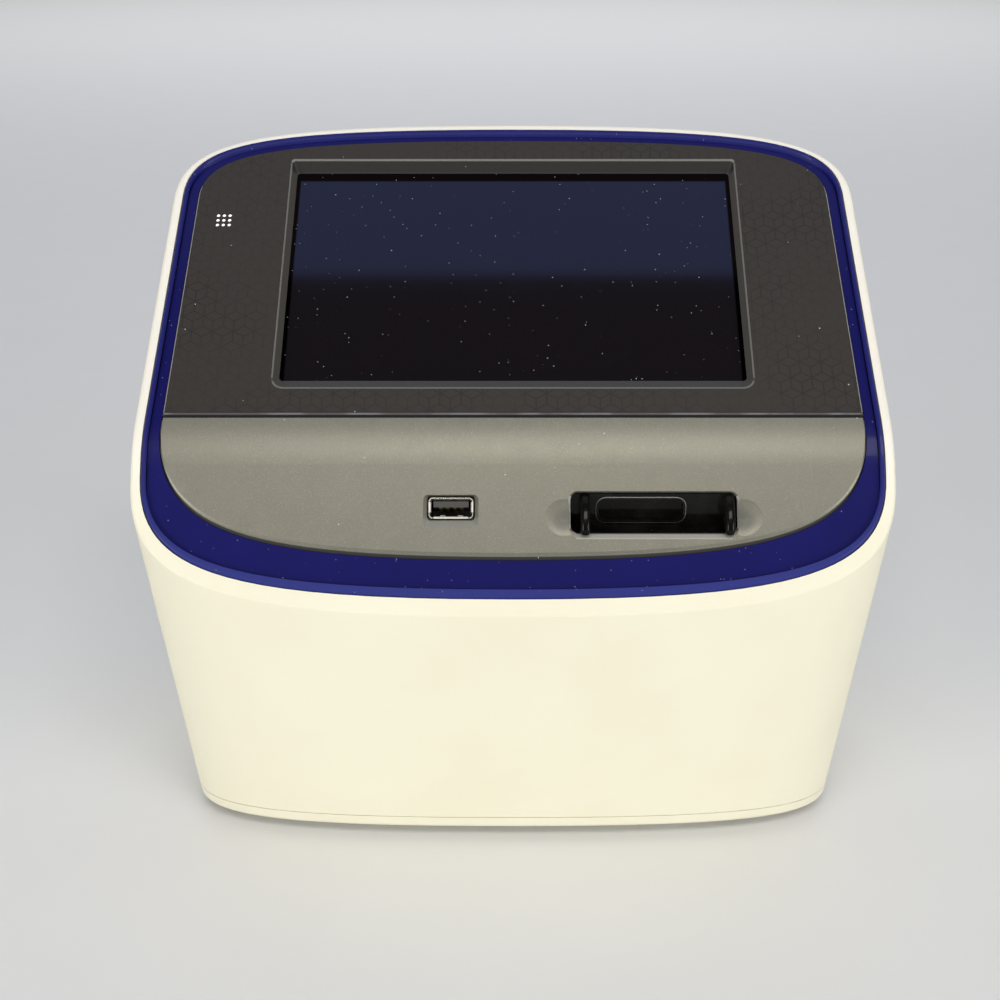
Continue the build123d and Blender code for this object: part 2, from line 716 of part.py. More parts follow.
def make_main_shell():
    blank = housing_core(0) & under_face(0) & slab(SEAM_Z + SEAM_GAP, LOFT_TOP_Z)
    blank = fillet(rim_edges(blank), RIM_ROUND)
    inside = housing_core(WALL)
    within_wall = housing_core(WALL / 2)
    shell = blank - inside
    shelf = (inside - housing_core(WALL + RING_SHELF))
    shell += shelf & face_layer(SHELF_TOP, SHELF_TOP + SHELF_THICK)
    shell -= display_relief()
    for post in shell_posts():
        shell += post & within_wall
    for x, y in POSTS:
        shell -= rod_z(x, y, FOOT_HEIGHT, SEAM_Z + SEAM_GAP + SHANK_LENGTH, PILOT_RADIUS)
    rebate = housing_core(-WALL) - housing_core(DOOR_THICK + SEAT)
    shell -= rebate & door_box(DOOR_GAP)
    shell -= door_box(-DOOR_FLANGE)
    for x, z in door_screw_places():
        shell -= rod_y(x, 0, 2 * BASE_REAR_Y, z, PILOT_RADIUS)
    pad = well_box(WELL_MARGIN, WELL_FLOOR_Y - WELL_FLOOR, 2 * BASE_REAR_Y)
    shell += pad & within_wall
    shell -= well_box(0, WELL_FLOOR_Y, 2 * BASE_REAR_Y)
    shell -= rocker_cutout(ROCKER_CLEAR)
    shell -= rod_y(JACK_X, 0, 2 * BASE_REAR_Y, WELL_Z, JACK_BODY / 2 - ROCKER_CLEAR)
    for i in range(REAR_SLOTS):
        x = (i - (REAR_SLOTS - 1) / 2) * REAR_SLOT_PITCH
        half = REAR_SLOT_WIDTH / 2
        tall = REAR_SLOT_HEIGHT / 2
        shell -= box_between(
            x - half, x + half, 0, 2 * BASE_REAR_Y, REAR_SLOT_Z - tall, REAR_SLOT_Z + tall
        )
    return shell


def make_bottom_cover():
    blank = housing_core(0) & slab(FOOT_HEIGHT, SEAM_Z)
    blank = fillet(blank.edges().group_by(Axis.Z)[0], BOTTOM_ROUND)
    cover = blank - (housing_core(WALL) & slab(FLOOR_TOP, SEAM_Z + 1))
    tongue = housing_core(WALL + FIT) - housing_core(WALL + FIT + TONGUE)
    cover += tongue & slab(FLOOR_TOP - SEAT, SEAM_Z + TONGUE_HEIGHT)
    for x, y in POSTS:
        cover += rod_z(x, y, FLOOR_TOP - SEAT, SEAM_Z, BOSS_RADIUS + 1)
        cover -= rod_z(x, y, FOOT_HEIGHT - 1, SEAM_Z + 1, SHANK_RADIUS + FIT)
        cover -= rod_z(x, y, FOOT_HEIGHT - 1, FOOT_HEIGHT + HEAD_SUNK + HEAD_HEIGHT, HEAD_RADIUS + FIT)
    for x, y in FEET:
        cover += rod_z(x, y, FLOOR_TOP - SEAT, CHASSIS_Z, BOSS_RADIUS)
        cover -= rod_z(x, y, FOOT_HEIGHT - 1, FOOT_HEIGHT + FOOT_SOCKET, FOOT_RADIUS + FIT)
    for i in range(FLOOR_SLOTS):
        x = (i - (FLOOR_SLOTS - 1) / 2) * FLOOR_SLOT_PITCH
        half = FLOOR_SLOT_WIDTH / 2
        tall = FLOOR_SLOT_LENGTH / 2
        cover -= box_between(
            x - half, x + half, FLOOR_SLOT_Y - tall, FLOOR_SLOT_Y + tall,
            FOOT_HEIGHT - 1, FLOOR_TOP + 1,
        )
    return cover


def make_rubber_feet():
    foot = Cylinder(FOOT_RADIUS, FOOT_HEIGHT + FOOT_SOCKET)
    foot = chamfer(foot.edges().group_by(Axis.Z)[0], FOOT_CHAMFER)
    return [Pos(x, y, (FOOT_HEIGHT + FOOT_SOCKET) / 2) * foot for x, y in FEET]


def make_screw(head_radius, head_height, shank_radius, shank_length):
    """A screw that points up: its head's lower face is at the origin."""
    screw = Pos(0, 0, head_height / 2) * Cylinder(head_radius, head_height)
    screw = fillet(screw.edges().group_by(Axis.Z)[0], head_height / 3)
    screw += Pos(0, 0, head_height + shank_length / 2) * Cylinder(shank_radius, shank_length)
    socket = extrude(RegularPolygon(head_radius / 2, SOCKET_SIDES), amount=head_height / 2)
    return screw - socket


def make_cover_screws():
    screw = make_screw(HEAD_RADIUS, HEAD_HEIGHT, SHANK_RADIUS, SHANK_LENGTH)
    return [Pos(x, y, FOOT_HEIGHT + HEAD_SUNK) * screw for x, y in POSTS]


def make_trim_ring():
    outer = housing_core(WALL + RING_GAP)
    opening = opening_prism(0)
    band = outer & face_layer(BAND_DEPTH, LEDGE_BOTTOM)
    bead = (outer - housing_core(WALL + RING_GAP + BEAD_WIDTH)) & face_layer(-BEAD_RISE, LEDGE_BOTTOM)
    bead = chamfer(rim_edges(bead), BEAD_ROUND)
    ring = band - (opening - under_face(LEDGE_TOP))
    ring -= opening_prism(LEDGE)
    ring -= display_relief()
    return ring + bead


def panel_blank():
    return opening_prism(PANEL_GAP) & face_layer(0, PANEL)


def make_upper_bezel():
    half = BASE_HALF_WIDTH * 2
    edge = PANEL_SEAM_Y + PANEL_SEAM_GAP / 2
    bezel = panel_blank() & box_between(-half, half, edge, half, 0, LOFT_TOP_Z)
    bezel = chamfer(rim_edges(bezel), PANEL_CHAMFER)
    brink = recess_outline(1 - RECESS_EDGE / PANEL, 0)
    bezel -= tapered_pocket(
        UPPER, 0, DISPLAY_S,
        [(0, recess_outline(1, RECESS_EDGE)), (RECESS_EDGE, brink), (PANEL, recess_outline(0, 0))],
    )
    for place in indicator_places():
        bezel -= place * Cylinder(INDICATOR_HOLE, 4 * PANEL)
    return bezel


def indicator_places():
    spread = [(i - (INDICATOR_COUNT - 1) / 2) * INDICATOR_PITCH for i in range(INDICATOR_COUNT)]
    return [
        UPPER.location * Pos(INDICATOR_X + dx, INDICATOR_S + ds, 0) for dx in spread for ds in spread
    ]


def port_outline(margin):
    """Level prism through the slide port, larger by a margin all round."""
    wide = PORT_WIDTH + 2 * margin
    tall = PORT_HEIGHT + 2 * margin
    sketch = RectangleRounded(wide, tall, PORT_CORNER + margin)
    middle = lower_face_z(PORT_LOW_Y) + PORT_HEIGHT / 2
    plane = Plane(origin=(PORT_X, 0, middle), x_dir=(1, 0, 0), z_dir=(0, -1, 0))
    return extrude(plane * sketch, amount=2 * BASE_HALF_WIDTH, both=True)


def port_dimples():
    """Two shallow dished finger marks at the ends of the port."""
    s = (PORT_LOW_Y - KNEE_Y) / math.cos(math.radians(LOWER_SLOPE)) + PORT_HEIGHT / 2
    ball = Sphere(DIMPLE_RADIUS)
    reach = PORT_WIDTH / 2 + DIMPLE_REACH
    return [
        on_slope(LOWER, PORT_X + side * reach, s, DIMPLE_RADIUS - DIMPLE_DEPTH, ball)
        for side in (-1, 1)
    ]


def port_edges(shape):
    """The edges that the port's opening makes with the lower slope."""
    edges = []
    for edge in shape.edges():
        middle = edge @ 0.5
        height = LOWER.to_local_coords(middle).Z
        beside = abs(middle.X - PORT_X) < PORT_WIDTH / 2 + 1
        level = -1 < middle.Z - lower_face_z(PORT_LOW_Y) < PORT_HEIGHT + 1
        if beside and level and abs(height) < SEAT:
            edges.append(edge)
    return edges


def make_lower_bezel():
    half = BASE_HALF_WIDTH * 2
    edge = PANEL_SEAM_Y - PANEL_SEAM_GAP / 2
    bezel = panel_blank() & box_between(-half, half, -half, edge, 0, LOFT_TOP_Z)
    bezel = chamfer(rim_edges(bezel), PANEL_CHAMFER)
    bezel -= port_outline(0)
    bezel = chamfer(port_edges(bezel), PORT_CHAMFER)
    for dimple in port_dimples():
        bezel -= dimple
    bezel -= port_outline(PORT_WALL + FIT) & under_face(PORT_LIP)
    tall = USB_POCKET_HEIGHT / 2
    mouth = rounded_outline(
        USB_POCKET_WIDTH / 2, -tall - USB_POCKET_DROP, tall - USB_POCKET_DROP,
        USB_POCKET_CORNER, USB_POCKET_CORNER,
    )
    hole_tall = USB_HOLE_HEIGHT / 2
    hole = rounded_outline(USB_HOLE_WIDTH / 2, -hole_tall, hole_tall, USB_HOLE_CORNER, USB_HOLE_CORNER)
    bezel -= tapered_pocket(LOWER, USB_X, USB_S, [(0, mouth), (USB_SUNK, hole)])
    bezel -= on_slope(LOWER, USB_X, USB_S, -2 * PANEL, extrude(hole, amount=2 * PANEL - USB_SUNK / 2))
    shelf_top = USB_S - USB_HEIGHT / 2 - BOARD - SEAT
    shelf = Box(USB_BOARD_WIDTH, USB_SHELF, USB_SHELF_REACH)
    buried = PANEL / 4
    return bezel + on_slope(
        LOWER, USB_X, shelf_top - USB_SHELF / 2, buried - PANEL - USB_SHELF_REACH / 2, shelf
    )


# ================================================================ display and electronics
GLASS_TOP = -PANEL - SEAT
GLASS_WIDTH = VIEW_WIDTH + 2 * GLASS_SIDE_MARGIN
GLASS_HEIGHT = VIEW_HEIGHT + 2 * GLASS_END_MARGIN
LCD_TOP = GLASS_TOP - GLASS
TRAY_FLOOR = LCD_TOP - LCD
BOARD_TOP = TRAY_FLOOR - TRAY_WALL - BOARD_STANDOFF


def display_block(width, height, top, thick):
    """A block square to the display slope, centred on the display."""
    return on_slope(UPPER, 0, DISPLAY_S, top - thick / 2, Box(width, height, thick))


def display_relief():
    """Room for the display tray where it passes the ring's ledge and the housing's shelf."""
    around = 2 * (TRAY_ROOM + TRAY_WALL + FIT)
    deep = GLASS + LCD + TRAY_WALL + FIT
    return display_block(GLASS_WIDTH + around, GLASS_HEIGHT + around, GLASS_TOP + FIT, deep + FIT)


def make_touch_glass():
    sheet = RectangleRounded(GLASS_WIDTH, GLASS_HEIGHT, VIEW_CORNER)
    return on_slope(UPPER, 0, DISPLAY_S, LCD_TOP, extrude(sheet, amount=GLASS))


def make_display_panel():
    width = GLASS_WIDTH - 2 * LCD_MARGIN
    height = GLASS_HEIGHT - 2 * LCD_MARGIN
    return display_block(width, height, LCD_TOP, LCD)


def make_display_tray():
    width = GLASS_WIDTH + 2 * TRAY_ROOM
    height = GLASS_HEIGHT + 2 * TRAY_ROOM
    deep = GLASS + LCD
    tray = display_block(width + 2 * TRAY_WALL, height + 2 * TRAY_WALL, GLASS_TOP, deep + TRAY_WALL)
    tray -= display_block(width, height, GLASS_TOP, deep)
    tray -= display_block(width / 2, height / 3, TRAY_FLOOR + 1, 2 + 2 * TRAY_WALL)
    return tray


def board_corners(width, height, inset):
    return [
        (sx * (width / 2 - inset), DISPLAY_S + sy * (height / 2 - inset)) for sx in (-1, 1) for sy in (-1, 1)
    ]


def make_board_standoffs():
    post = Cylinder(STANDOFF_RADIUS, BOARD_STANDOFF)
    middle = BOARD_TOP + BOARD_STANDOFF / 2
    return [
        on_slope(UPPER, x, s, middle, post)
        for x, s in board_corners(MAINBOARD_WIDTH, MAINBOARD_HEIGHT, STANDOFF_INSET)
    ]


def make_mainboard():
    board = display_block(MAINBOARD_WIDTH, MAINBOARD_HEIGHT, BOARD_TOP, BOARD)
    chip = display_block(CHIP_SIZE, CHIP_SIZE, BOARD_TOP - BOARD, CHIP_THICK)
    board += chip
    part = Box(MEMORY_WIDTH, MEMORY_LENGTH, MEMORY_THICK)
    for x in MEMORY_PLACES:
        board += on_slope(UPPER, x, DISPLAY_S - MEMORY_DROP, BOARD_TOP - BOARD - MEMORY_THICK / 2, part)
    return board


def make_heat_sink():
    top = BOARD_TOP - BOARD - CHIP_THICK
    sink = display_block(SINK_WIDTH, SINK_HEIGHT, top, SINK_BASE)
    pitch = (SINK_WIDTH - SINK_FIN_THICK) / (SINK_FINS - 1)
    for i in range(SINK_FINS):
        x = (i - (SINK_FINS - 1) / 2) * pitch
        fin = Box(SINK_FIN_THICK, SINK_HEIGHT, SINK_FIN)
        sink += on_slope(UPPER, x, DISPLAY_S, top - SINK_BASE - SINK_FIN / 2, fin)
    return sink


def make_indicator_guide():
    block = RectangleRounded(INDICATOR_BLOCK, INDICATOR_BLOCK, 1.0)
    bottom = -PANEL - SEAT - INDICATOR_BLOCK_THICK
    guide = on_slope(
        UPPER, INDICATOR_X, INDICATOR_S, bottom, extrude(block, amount=INDICATOR_BLOCK_THICK)
    )
    height = INDICATOR_BLOCK_THICK / 2 + PANEL - INDICATOR_SUNK
    pip = Cylinder(INDICATOR_HOLE - INDICATOR_CLEAR, height)
    pip = fillet(pip.edges().group_by(Axis.Z)[-1], INDICATOR_HOLE / 2)
    for place in indicator_places():
        guide += place * Pos(0, 0, -INDICATOR_SUNK - height / 2) * pip
    return guide


def make_indicator_board():
    top = -PANEL - SEAT - INDICATOR_BLOCK_THICK
    side = INDICATOR_BLOCK + 2 * INDICATOR_BOARD_MARGIN
    board = Box(side, side + 2 * INDICATOR_BOARD_MARGIN, BOARD)
    return on_slope(UPPER, INDICATOR_X, INDICATOR_S, top - BOARD / 2, board)


# ================================================================ front USB socket
def usb_place(s, n):
    return LOWER.location * Pos(USB_X, s, n)


USB_MOUTH = USB_PROUD - USB_SUNK


def usb_tube(margin, low, high, flare):
    """A rounded block along the socket's axis, flared at its high end."""
    wide = USB_WIDTH / 2 + margin
    tall = USB_HEIGHT / 2 + margin
    bend = USB_FOLD + margin
    straight = rounded_outline(wide, -tall, tall, bend, bend)
    lip = rounded_outline(wide + flare, -tall - flare, tall + flare, bend + flare, bend + flare)
    body = extrude(Pos(0, 0, low) * straight, amount=high - USB_FLARE_LENGTH - low)
    ends = [(Pos(0, 0, z) * w).wire() for w, z in ((straight, high - USB_FLARE_LENGTH), (lip, high))]
    return body + Solid.make_loft(ends, ruled=True)


def make_usb_shell():
    low = USB_MOUTH - USB_LENGTH
    outer = usb_tube(0, low, USB_MOUTH, USB_FLARE)
    inner = usb_tube(-USB_SHEET, low + USB_SHEET, USB_MOUTH + SEAT, USB_FLARE)
    shell = outer - inner
    floor = USB_SHEET - USB_HEIGHT / 2
    middle = USB_MOUTH - USB_FINGER_SUNK - USB_FINGER_LENGTH / 2
    finger = Box(USB_FINGER_WIDTH, USB_FINGER_RISE + USB_SHEET, USB_FINGER_LENGTH)
    finger = chamfer(finger.edges().filter_by(Axis.X).group_by(Axis.Y)[-1], USB_FINGER_RISE / 2)
    slot = Box(USB_FINGER_WIDTH, 2 * USB_SHEET, USB_FINGER_LENGTH)
    for side in (-1, 1):
        x = side * USB_FINGER_X
        shell += Pos(x, floor + (USB_FINGER_RISE - USB_SHEET) / 2, middle) * finger
        shell -= Pos(x, USB_HEIGHT / 2, middle) * slot
    return usb_place(USB_S, 0) * shell


def make_usb_tongue():
    base_low = USB_MOUTH - USB_LENGTH + USB_SHEET + SEAT
    width = USB_WIDTH - 2 * USB_SHEET - 2 * SEAT
    height = USB_HEIGHT - 2 * USB_SHEET - 2 * SEAT
    block = Box(width, height, USB_BLOCK_LENGTH)
    block = fillet(block.edges().filter_by(Axis.Z), USB_FOLD - USB_SHEET)
    tongue = usb_place(USB_S, base_low + USB_BLOCK_LENGTH / 2) * block
    length = USB_MOUTH - USB_TONGUE_SUNK - base_low
    blade = Box(USB_TONGUE_WIDTH, USB_TONGUE_THICK, length)
    return tongue + usb_place(USB_S + USB_TONGUE_SHIFT, base_low + length / 2) * blade


def make_usb_contacts():
    length = USB_LENGTH / 2
    y = USB_S + USB_TONGUE_SHIFT - USB_TONGUE_THICK / 2 - USB_CONTACT_THICK / 2
    finger = Box(USB_CONTACT_WIDTH, USB_CONTACT_THICK, length)
    places = [(i - (USB_CONTACTS - 1) / 2) * USB_CONTACT_PITCH for i in range(USB_CONTACTS)]
    middle = USB_MOUTH - USB_TONGUE_SUNK - USB_CONTACT_SUNK - length / 2
    return [usb_place(y, middle) * Pos(x, 0, 0) * finger for x in places]


def make_usb_board():
    s = USB_S - USB_HEIGHT / 2 - BOARD / 2
    front = -PANEL - SEAT
    board = Box(USB_BOARD_WIDTH, BOARD, USB_BOARD_LENGTH)
    return usb_place(s, front - USB_BOARD_LENGTH / 2) * board


# ================================================================ slide port
PORT_FLOOR_Z = lower_face_z(PORT_LOW_Y)
PORT_TOP_Z = PORT_FLOOR_Z + PORT_HEIGHT
PLATE_Y = PORT_LOW_Y + PORT_DEPTH
PLATE_BACK_Y = PLATE_Y + PLATE
FLAP_WIDTH = WINDOW_WIDTH + 2 * FLAP_OVERLAP
FLAP_BOTTOM_Z = WINDOW_Z - WINDOW_HEIGHT / 2 - FLAP_OVERLAP
FLAP_FRONT_Y = PLATE_BACK_Y + FLAP_GAP


def window_prism(margin, y0, y1):
    wide = WINDOW_WIDTH + 2 * margin
    tall = WINDOW_HEIGHT + 2 * margin
    sketch = RectangleRounded(wide, tall, WINDOW_CORNER + margin)
    plane = Plane(origin=(SLIDE_X, y0, WINDOW_Z), x_dir=(1, 0, 0), z_dir=(0, -1, 0))
    return extrude(plane * sketch, amount=y0 - y1)


def make_cheek(x):
    """A guide cheek: a fin whose round nose stands out past the port's lower edge."""
    nose_y = PORT_LOW_Y - CHEEK_REACH + CHEEK_NOSE
    nose_z = PORT_FLOOR_Z + CHEEK_NOSE
    back = PLATE_Y + PLATE / 2
    top = PORT_TOP_Z - CHEEK_TOP_GAP
    shoulder = (PORT_LOW_Y + (PORT_TOP_Z - PORT_FLOOR_Z) / math.tan(math.radians(LOWER_SLOPE)), top)
    tip = (nose_y - CHEEK_NOSE, nose_z)
    profile = make_face(Wire([
        Line((back, PORT_FLOOR_Z), (nose_y, PORT_FLOOR_Z)),
        ThreePointArc(
            (nose_y, PORT_FLOOR_Z),
            (nose_y - CHEEK_NOSE * math.sqrt(0.5), nose_z - CHEEK_NOSE * math.sqrt(0.5)),
            tip,
        ),
        Bezier(tip, (tip[0], nose_z + CHEEK_NOSE), (shoulder[0] - 2 * CHEEK_NOSE, top), shoulder),
        Line(shoulder, (back, top)),
        Line((back, top), (back, PORT_FLOOR_Z)),
    ]))
    plane = Plane(origin=(x, 0, 0), x_dir=(0, 1, 0), z_dir=(1, 0, 0))
    cheek = extrude(plane * profile, amount=CHEEK_THICK / 2, both=True)
    nose = [e for e in cheek.edges() if e.geom_type != GeomType.LINE]
    return fillet(nose, CHEEK_ROUND)


def make_slide_port():
    reach = 2 * BASE_HALF_WIDTH
    solid = port_outline(PORT_WALL) - port_outline(0)
    back = PLATE_BACK_Y
    port = solid & box_between(-reach, reach, -reach, back, 0, LOFT_TOP_Z)
    plate = port_outline(PORT_WALL) & box_between(-reach, reach, PLATE_Y, back, 0, LOFT_TOP_Z)
    rim = window_prism(WINDOW_RIM, PLATE_Y + PLATE / 2, PLATE_Y - WINDOW_RIM_RISE)
    plate += chamfer(rim.edges().group_by(Axis.Y)[0], WINDOW_RIM_EDGE)
    plate &= port_outline(PORT_WALL)
    plate -= window_prism(0, back + 1, PLATE_Y - 1)
    behind_lip = under_face(PORT_LIP + SEAT)
    port = (port + plate) & behind_lip
    for x in CHEEK_PLACES:
        cheek = make_cheek(x)
        port += cheek & port_outline(PORT_WALL / 2) & behind_lip
        port += cheek & port_outline(-FIT)
    for side in (-1, 1):
        port += flap_ear(side)
    return port


def flap_ear(side):
    """An ear behind the window plate that carries one end of the flap's pin."""
    inner = FLAP_WIDTH / 2 + FLAP_SIDE_GAP
    x0 = SLIDE_X + side * inner
    x1 = x0 + side * FLAP_EAR
    radius = FLAP_KNUCKLE
    ear = rod_x(min(x0, x1), max(x0, x1), FLAP_PIN_Y, FLAP_PIN_Z, radius)
    ear += box_between(
        min(x0, x1), max(x0, x1), PLATE_BACK_Y - PLATE / 2, FLAP_PIN_Y,
        FLAP_PIN_Z - radius, FLAP_PIN_Z + radius / 2,
    )
    reach = 2 * FLAP_EAR
    return ear - rod_x(x0 - reach, x0 + reach, FLAP_PIN_Y, FLAP_PIN_Z, FLAP_PIN_RADIUS + SEAT)


def make_flap_pin():
    half = FLAP_WIDTH / 2 + FLAP_SIDE_GAP + FLAP_EAR
    return rod_x(SLIDE_X - half, SLIDE_X + half, FLAP_PIN_Y, FLAP_PIN_Z, FLAP_PIN_RADIUS)


def make_light_flap():
    left = SLIDE_X - FLAP_WIDTH / 2
    right = SLIDE_X + FLAP_WIDTH / 2
    flap = rod_x(left, right, FLAP_PIN_Y, FLAP_PIN_Z, FLAP_KNUCKLE)
    flap += box_between(left, right, FLAP_FRONT_Y, FLAP_FRONT_Y + FLAP, FLAP_BOTTOM_Z, FLAP_PIN_Z)
    return flap - rod_x(left - 1, right + 1, FLAP_PIN_Y, FLAP_PIN_Z, FLAP_PIN_RADIUS + FLAP_PIN_CLEAR)


# ================================================================ slide stage and carriage
STAGE_BOTTOM = STAGE_TOP - STAGE_THICK
FLAP_REACH = math.hypot(FLAP_PIN_Z - FLAP_BOTTOM_Z, FLAP_PIN_Y - FLAP_FRONT_Y)
STAGE_FRONT_Y = FLAP_PIN_Y + math.sqrt(FLAP_REACH ** 2 - (FLAP_PIN_Z - STAGE_TOP) ** 2) + STAGE_ROOM
CARRIAGE_HALF = SLIDE_WIDTH / 2 + CARRIAGE_CLEAR + CARRIAGE_WALL
CHANNEL_HALF = CARRIAGE_HALF + CARRIAGE_CLEAR
CARRIAGE_BOTTOM = STAGE_TOP + CARRIAGE_CLEAR / 2
CARRIAGE_TOP = STAGE_TOP + RAIL_HEIGHT
STOP_Y = STAGE_REAR_Y - STOP_THICK
SPRING_Z = STAGE_TOP + STOP_HEIGHT / 2


def make_slide_stage():
    half = CHANNEL_HALF + RAIL_WIDTH
    stage = box_between(
        SLIDE_X - half, SLIDE_X + half, STAGE_FRONT_Y, STAGE_REAR_Y, STAGE_BOTTOM, STAGE_TOP
    )
    for side in (-1, 1):
        x0 = SLIDE_X + side * CHANNEL_HALF
        x1 = x0 + side * RAIL_WIDTH
        stage += box_between(
            min(x0, x1), max(x0, x1), CARRIAGE_FRONT_Y, STAGE_REAR_Y, STAGE_TOP - 1, CARRIAGE_TOP
        )
    stage += box_between(
        SLIDE_X - half, SLIDE_X + half, STOP_Y, STAGE_REAR_Y, STAGE_TOP - 1, STAGE_TOP + STOP_HEIGHT
    )
    stage -= rod_z(SLIDE_X, OPTIC_Y, STAGE_BOTTOM - 1, STAGE_TOP + 1, STAGE_BORE)
    for side in (-1, 1):
        stage -= rod_z(
            SLIDE_X + side * STAGE_MOUNT_X, TOWER_FRONT_Y + TOWER_WEB / 2, STAGE_BOTTOM - 1, STAGE_TOP + 1,
            SHANK_RADIUS + FIT,
        )
    return stage


def make_slide_carriage():
    left = SLIDE_X - CARRIAGE_HALF
    right = SLIDE_X + CARRIAGE_HALF
    floor_top = CARRIAGE_BOTTOM + CARRIAGE_FLOOR
    carriage = box_between(left, right, CARRIAGE_FRONT_Y, CARRIAGE_REAR_Y, CARRIAGE_BOTTOM, CARRIAGE_TOP)
    carriage -= box_between(
        left + CARRIAGE_WALL, right - CARRIAGE_WALL, CARRIAGE_FRONT_Y - 1,
        CARRIAGE_REAR_Y - 2 * CARRIAGE_WALL, floor_top, CARRIAGE_TOP + 1,
    )
    carriage -= rod_z(SLIDE_X, OPTIC_Y, CARRIAGE_BOTTOM - 1, CARRIAGE_TOP + 1, CARRIAGE_BORE)
    carriage += box_between(
        SLIDE_X - 2 * SPRING_COIL, SLIDE_X + 2 * SPRING_COIL, CARRIAGE_REAR_Y - 2 * CARRIAGE_WALL,
        CARRIAGE_REAR_Y, floor_top, SPRING_Z + SPRING_COIL,
    )
    pin = SPRING_COIL - SPRING_WIRE / 2 - CARRIAGE_CLEAR
    return carriage + rod_y(
        SLIDE_X, CARRIAGE_REAR_Y - CARRIAGE_WALL, CARRIAGE_REAR_Y + SPRING_PIN_LENGTH, SPRING_Z, pin
    )


def make_carriage_spring():
    gap = STOP_Y - CARRIAGE_REAR_Y - SPRING_WIRE - 2 * SEAT
    coil = Helix(pitch=gap / SPRING_TURNS, height=gap, radius=SPRING_COIL)
    start = coil @ 0
    section = Plane(origin=start, z_dir=coil % 0) * Circle(SPRING_WIRE / 2)
    spring = sweep(section, path=coil)
    return Pos(SLIDE_X, STOP_Y - SPRING_WIRE / 2 - SEAT, SPRING_Z) * Rot(90, 0, 0) * spring


# ================================================================ optics
def tower_x():
    return SLIDE_X - TOWER_WIDTH / 2, SLIDE_X + TOWER_WIDTH / 2


def make_optics_tower():
    x0, x1 = tower_x()
    y0 = TOWER_FRONT_Y
    y1 = y0 + TOWER_DEPTH
    tower = box_between(x0, x1, y0, y0 + TOWER_WEB, CHASSIS_TOP, STAGE_BOTTOM)
    for x in (x0, x1 - TOWER_WEB):
        tower += box_between(x, x + TOWER_WEB, y0, y1, CHASSIS_TOP, STAGE_BOTTOM)
    tower += box_between(
        x0 - TOWER_FOOT_SIDE, x1 + TOWER_FOOT_SIDE, y0, y1 + TOWER_FOOT_REAR,
        CHASSIS_TOP, CHASSIS_TOP + TOWER_FOOT,
    )
    flange_front = FOCUS_SCREW_Y - MOTOR / 2
    tower += box_between(
        x1 - TOWER_WEB, FOCUS_SCREW_X + MOTOR / 2, flange_front, y1, FLANGE_Z, FLANGE_Z + FLANGE_THICK
    ) - box_between(x1 - TOWER_WEB - 1, x1 + 1, flange_front - 1, y0 - SEAT, 0, STAGE_TOP)
    for z in TOWER_HOLES:
        tower -= rod_y(SLIDE_X, y0 - 1, y1, z, TOWER_HOLE)
    tower -= rod_z(
        FOCUS_SCREW_X, FOCUS_SCREW_Y, FLANGE_Z - 1, FLANGE_Z + FLANGE_THICK + 1, COUPLER_RADIUS + 1
    )
    for side in (-1, 1):
        tower -= rod_z(
            SLIDE_X + side * STAGE_MOUNT_X, TOWER_FRONT_Y + TOWER_WEB / 2,
            STAGE_BOTTOM - STAGE_SCREW_DEPTH, STAGE_BOTTOM + 1, SHANK_RADIUS,
        )
    return tower


def make_illuminator_arm():
    x0 = SLIDE_X - LAMP_RADIUS
    x1 = SLIDE_X + LAMP_RADIUS
    low = STAGE_TOP + STOP_HEIGHT
    top = LAMP_BOTTOM_Z + LAMP_HEIGHT
    under_arm = low + LAMP_ARM_GAP
    arm = box_between(x0, x1, STOP_Y, STAGE_REAR_Y, low, top)
    arm += box_between(x0, x1, OPTIC_Y, STAGE_REAR_Y, under_arm, under_arm + LAMP_ARM)
    arm += rod_z(SLIDE_X, OPTIC_Y, LAMP_BOTTOM_Z, top, LAMP_RADIUS)
    arm -= rod_z(SLIDE_X, OPTIC_Y, LAMP_BOTTOM_Z - 1, LAMP_BOTTOM_Z + LENS_THICK, LENS_RADIUS + SEAT)
    return arm - rod_z(SLIDE_X, OPTIC_Y, LAMP_BOTTOM_Z, top + 1, LENS_RADIUS - LAMP_LIP)


def make_condenser_lens():
    low = LAMP_BOTTOM_Z
    lens = rod_z(SLIDE_X, OPTIC_Y, low, low + LENS_THICK - SEAT, LENS_RADIUS)
    return fillet(lens.edges().group_by(Axis.Z)[0], LENS_THICK / 3)


def make_led_board():
    top = LAMP_BOTTOM_Z + LAMP_HEIGHT
    board = rod_z(SLIDE_X, OPTIC_Y, top, top + BOARD, LAMP_RADIUS)
    return board + Pos(SLIDE_X, OPTIC_Y, top - LED_THICK / 2) * Box(LED_SIDE, LED_SIDE, LED_THICK)


def make_focus_guide():
    half = GUIDE_WIDTH / 2
    guide = box_between(
        SLIDE_X - half, SLIDE_X + half, TOWER_FRONT_Y - GUIDE_DEPTH, TOWER_FRONT_Y,
        GUIDE_BOTTOM_Z, GUIDE_TOP_Z,
    )
    y = TOWER_FRONT_Y - GUIDE_DEPTH / 2
    for side in (-1, 1):
        guide -= rod_z(SLIDE_X + side * half, y, GUIDE_BOTTOM_Z - 1, GUIDE_TOP_Z + 1, GUIDE_GROOVE)
    return guide


